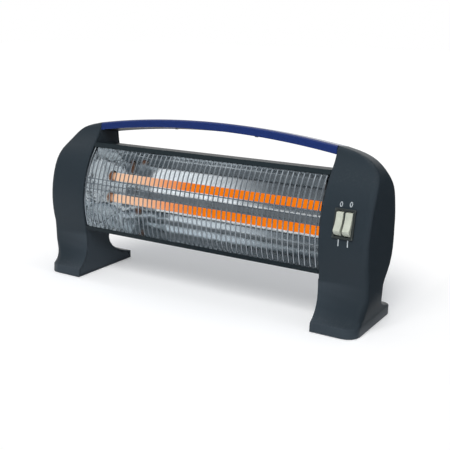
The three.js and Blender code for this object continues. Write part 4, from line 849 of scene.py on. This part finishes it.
board = Finish("grey_board", (0.0, 0.0, 0.0), 0.95)
board.feed("Specular IOR Level", 0.0)
spot = board.place()
rightward = board.node("ShaderNodeSeparateXYZ", {}, {0: spot}, "X")
backward = board.node("ShaderNodeSeparateXYZ", {}, {0: spot}, "Y")
fade = board.ramped(rightward - 0.48 * backward, -0.15, 0.03)
board.feed("Emission Color", board.tinted(fade, (1.20, 1.24, 1.28), (0.12, 0.13, 0.14)))
board.feed("Emission Strength", 1.0)
curtain = Finish("grey_curtain", (0.0, 0.0, 0.0), 0.95)
curtain.feed("Specular IOR Level", 0.0)
folds = curtain.speckle(0.8)
curtain.feed("Emission Color", curtain.tinted(folds, (0.12, 0.13, 0.14), (0.20, 0.21, 0.22)))
curtain.feed("Emission Strength", 1.0)
flock = Finish("black_flock", (0.012, 0.013, 0.015), 0.95)
flock.feed("Specular IOR Level", 0.0)
# These cards are painted reflections: the dark and bright bands that the caps, wires and trough mirror come
# from them alone.
for name, cloth, size, place, turn in (
    ("floor_card", board, (1.0, 0.94), (-0.40, -0.53, 0.001), level),
    ("front_card", curtain, (5.0, 2.6), (-0.7, -1.6, 1.32), standing),
    ("right_card", flock, (0.65, 1.0), (0.575, 0.40, 0.001), level),
    ("back_card", flock, (1.3, 0.8), (0.72, 0.72, 0.4), Matrix.Rotation(radians(-35), 3, "Z") @ standing),
):
    card = flat_sheet(name, size, place, turn)
    card.visible_camera = card.visible_diffuse = False
    card.visible_shadow = card.visible_transmission = False
    cloth.shown_on(card)

world = bpy.data.worlds.new("studio")
bpy.context.scene.world = world
world.use_nodes = True
tree = world.node_tree
room = tree.nodes["Background"]
room.inputs["Color"].default_value = (0.88, 0.93, 1.0, 1)
room.inputs["Strength"].default_value = 0.36
white = tree.nodes.new("ShaderNodeBackground")
white.inputs["Color"].default_value = (1, 1, 1, 1)
white.inputs["Strength"].default_value = 1.0
path = tree.nodes.new("ShaderNodeLightPath")
which = tree.nodes.new("ShaderNodeMixShader")
either = tree.nodes.new("ShaderNodeMath")
either.operation = "MAXIMUM"
tree.links.new(path.outputs["Is Camera Ray"], either.inputs[0])
tree.links.new(path.outputs["Is Glossy Ray"], either.inputs[1])
tree.links.new(either.outputs[0], which.inputs[0])
tree.links.new(room.outputs[0], which.inputs[1])
tree.links.new(white.outputs[0], which.inputs[2])
tree.links.new(which.outputs[0], tree.nodes["World Output"].inputs["Surface"])

for name, power, size, place, aim in (
    ("key_lamp", 26, (1.1, 0.8), (0.3, -1.15, 1.35), (0, 0, 0.1)),
    ("fill_lamp", 1.2, (0.5, 0.5), (1.5, -0.3, 0.3), (0.2, 0, 0.1)),
    ("top_lamp", 3, (1.4, 1.0), (0, 0.4, 1.5), (0, 0, 0.1)),
):
    lamp = bpy.data.lights.new(name, "AREA")
    lamp.shape, lamp.size, lamp.size_y = "RECTANGLE", *size
    lamp.energy = power
    held = bpy.data.objects.new(name, lamp)
    held.location = place
    held.visible_glossy = name == "top_lamp"
    held.rotation_euler = (Vector(aim) - Vector(place)).to_track_quat("-Z", "Y").to_euler()
    bpy.context.scene.collection.objects.link(held)
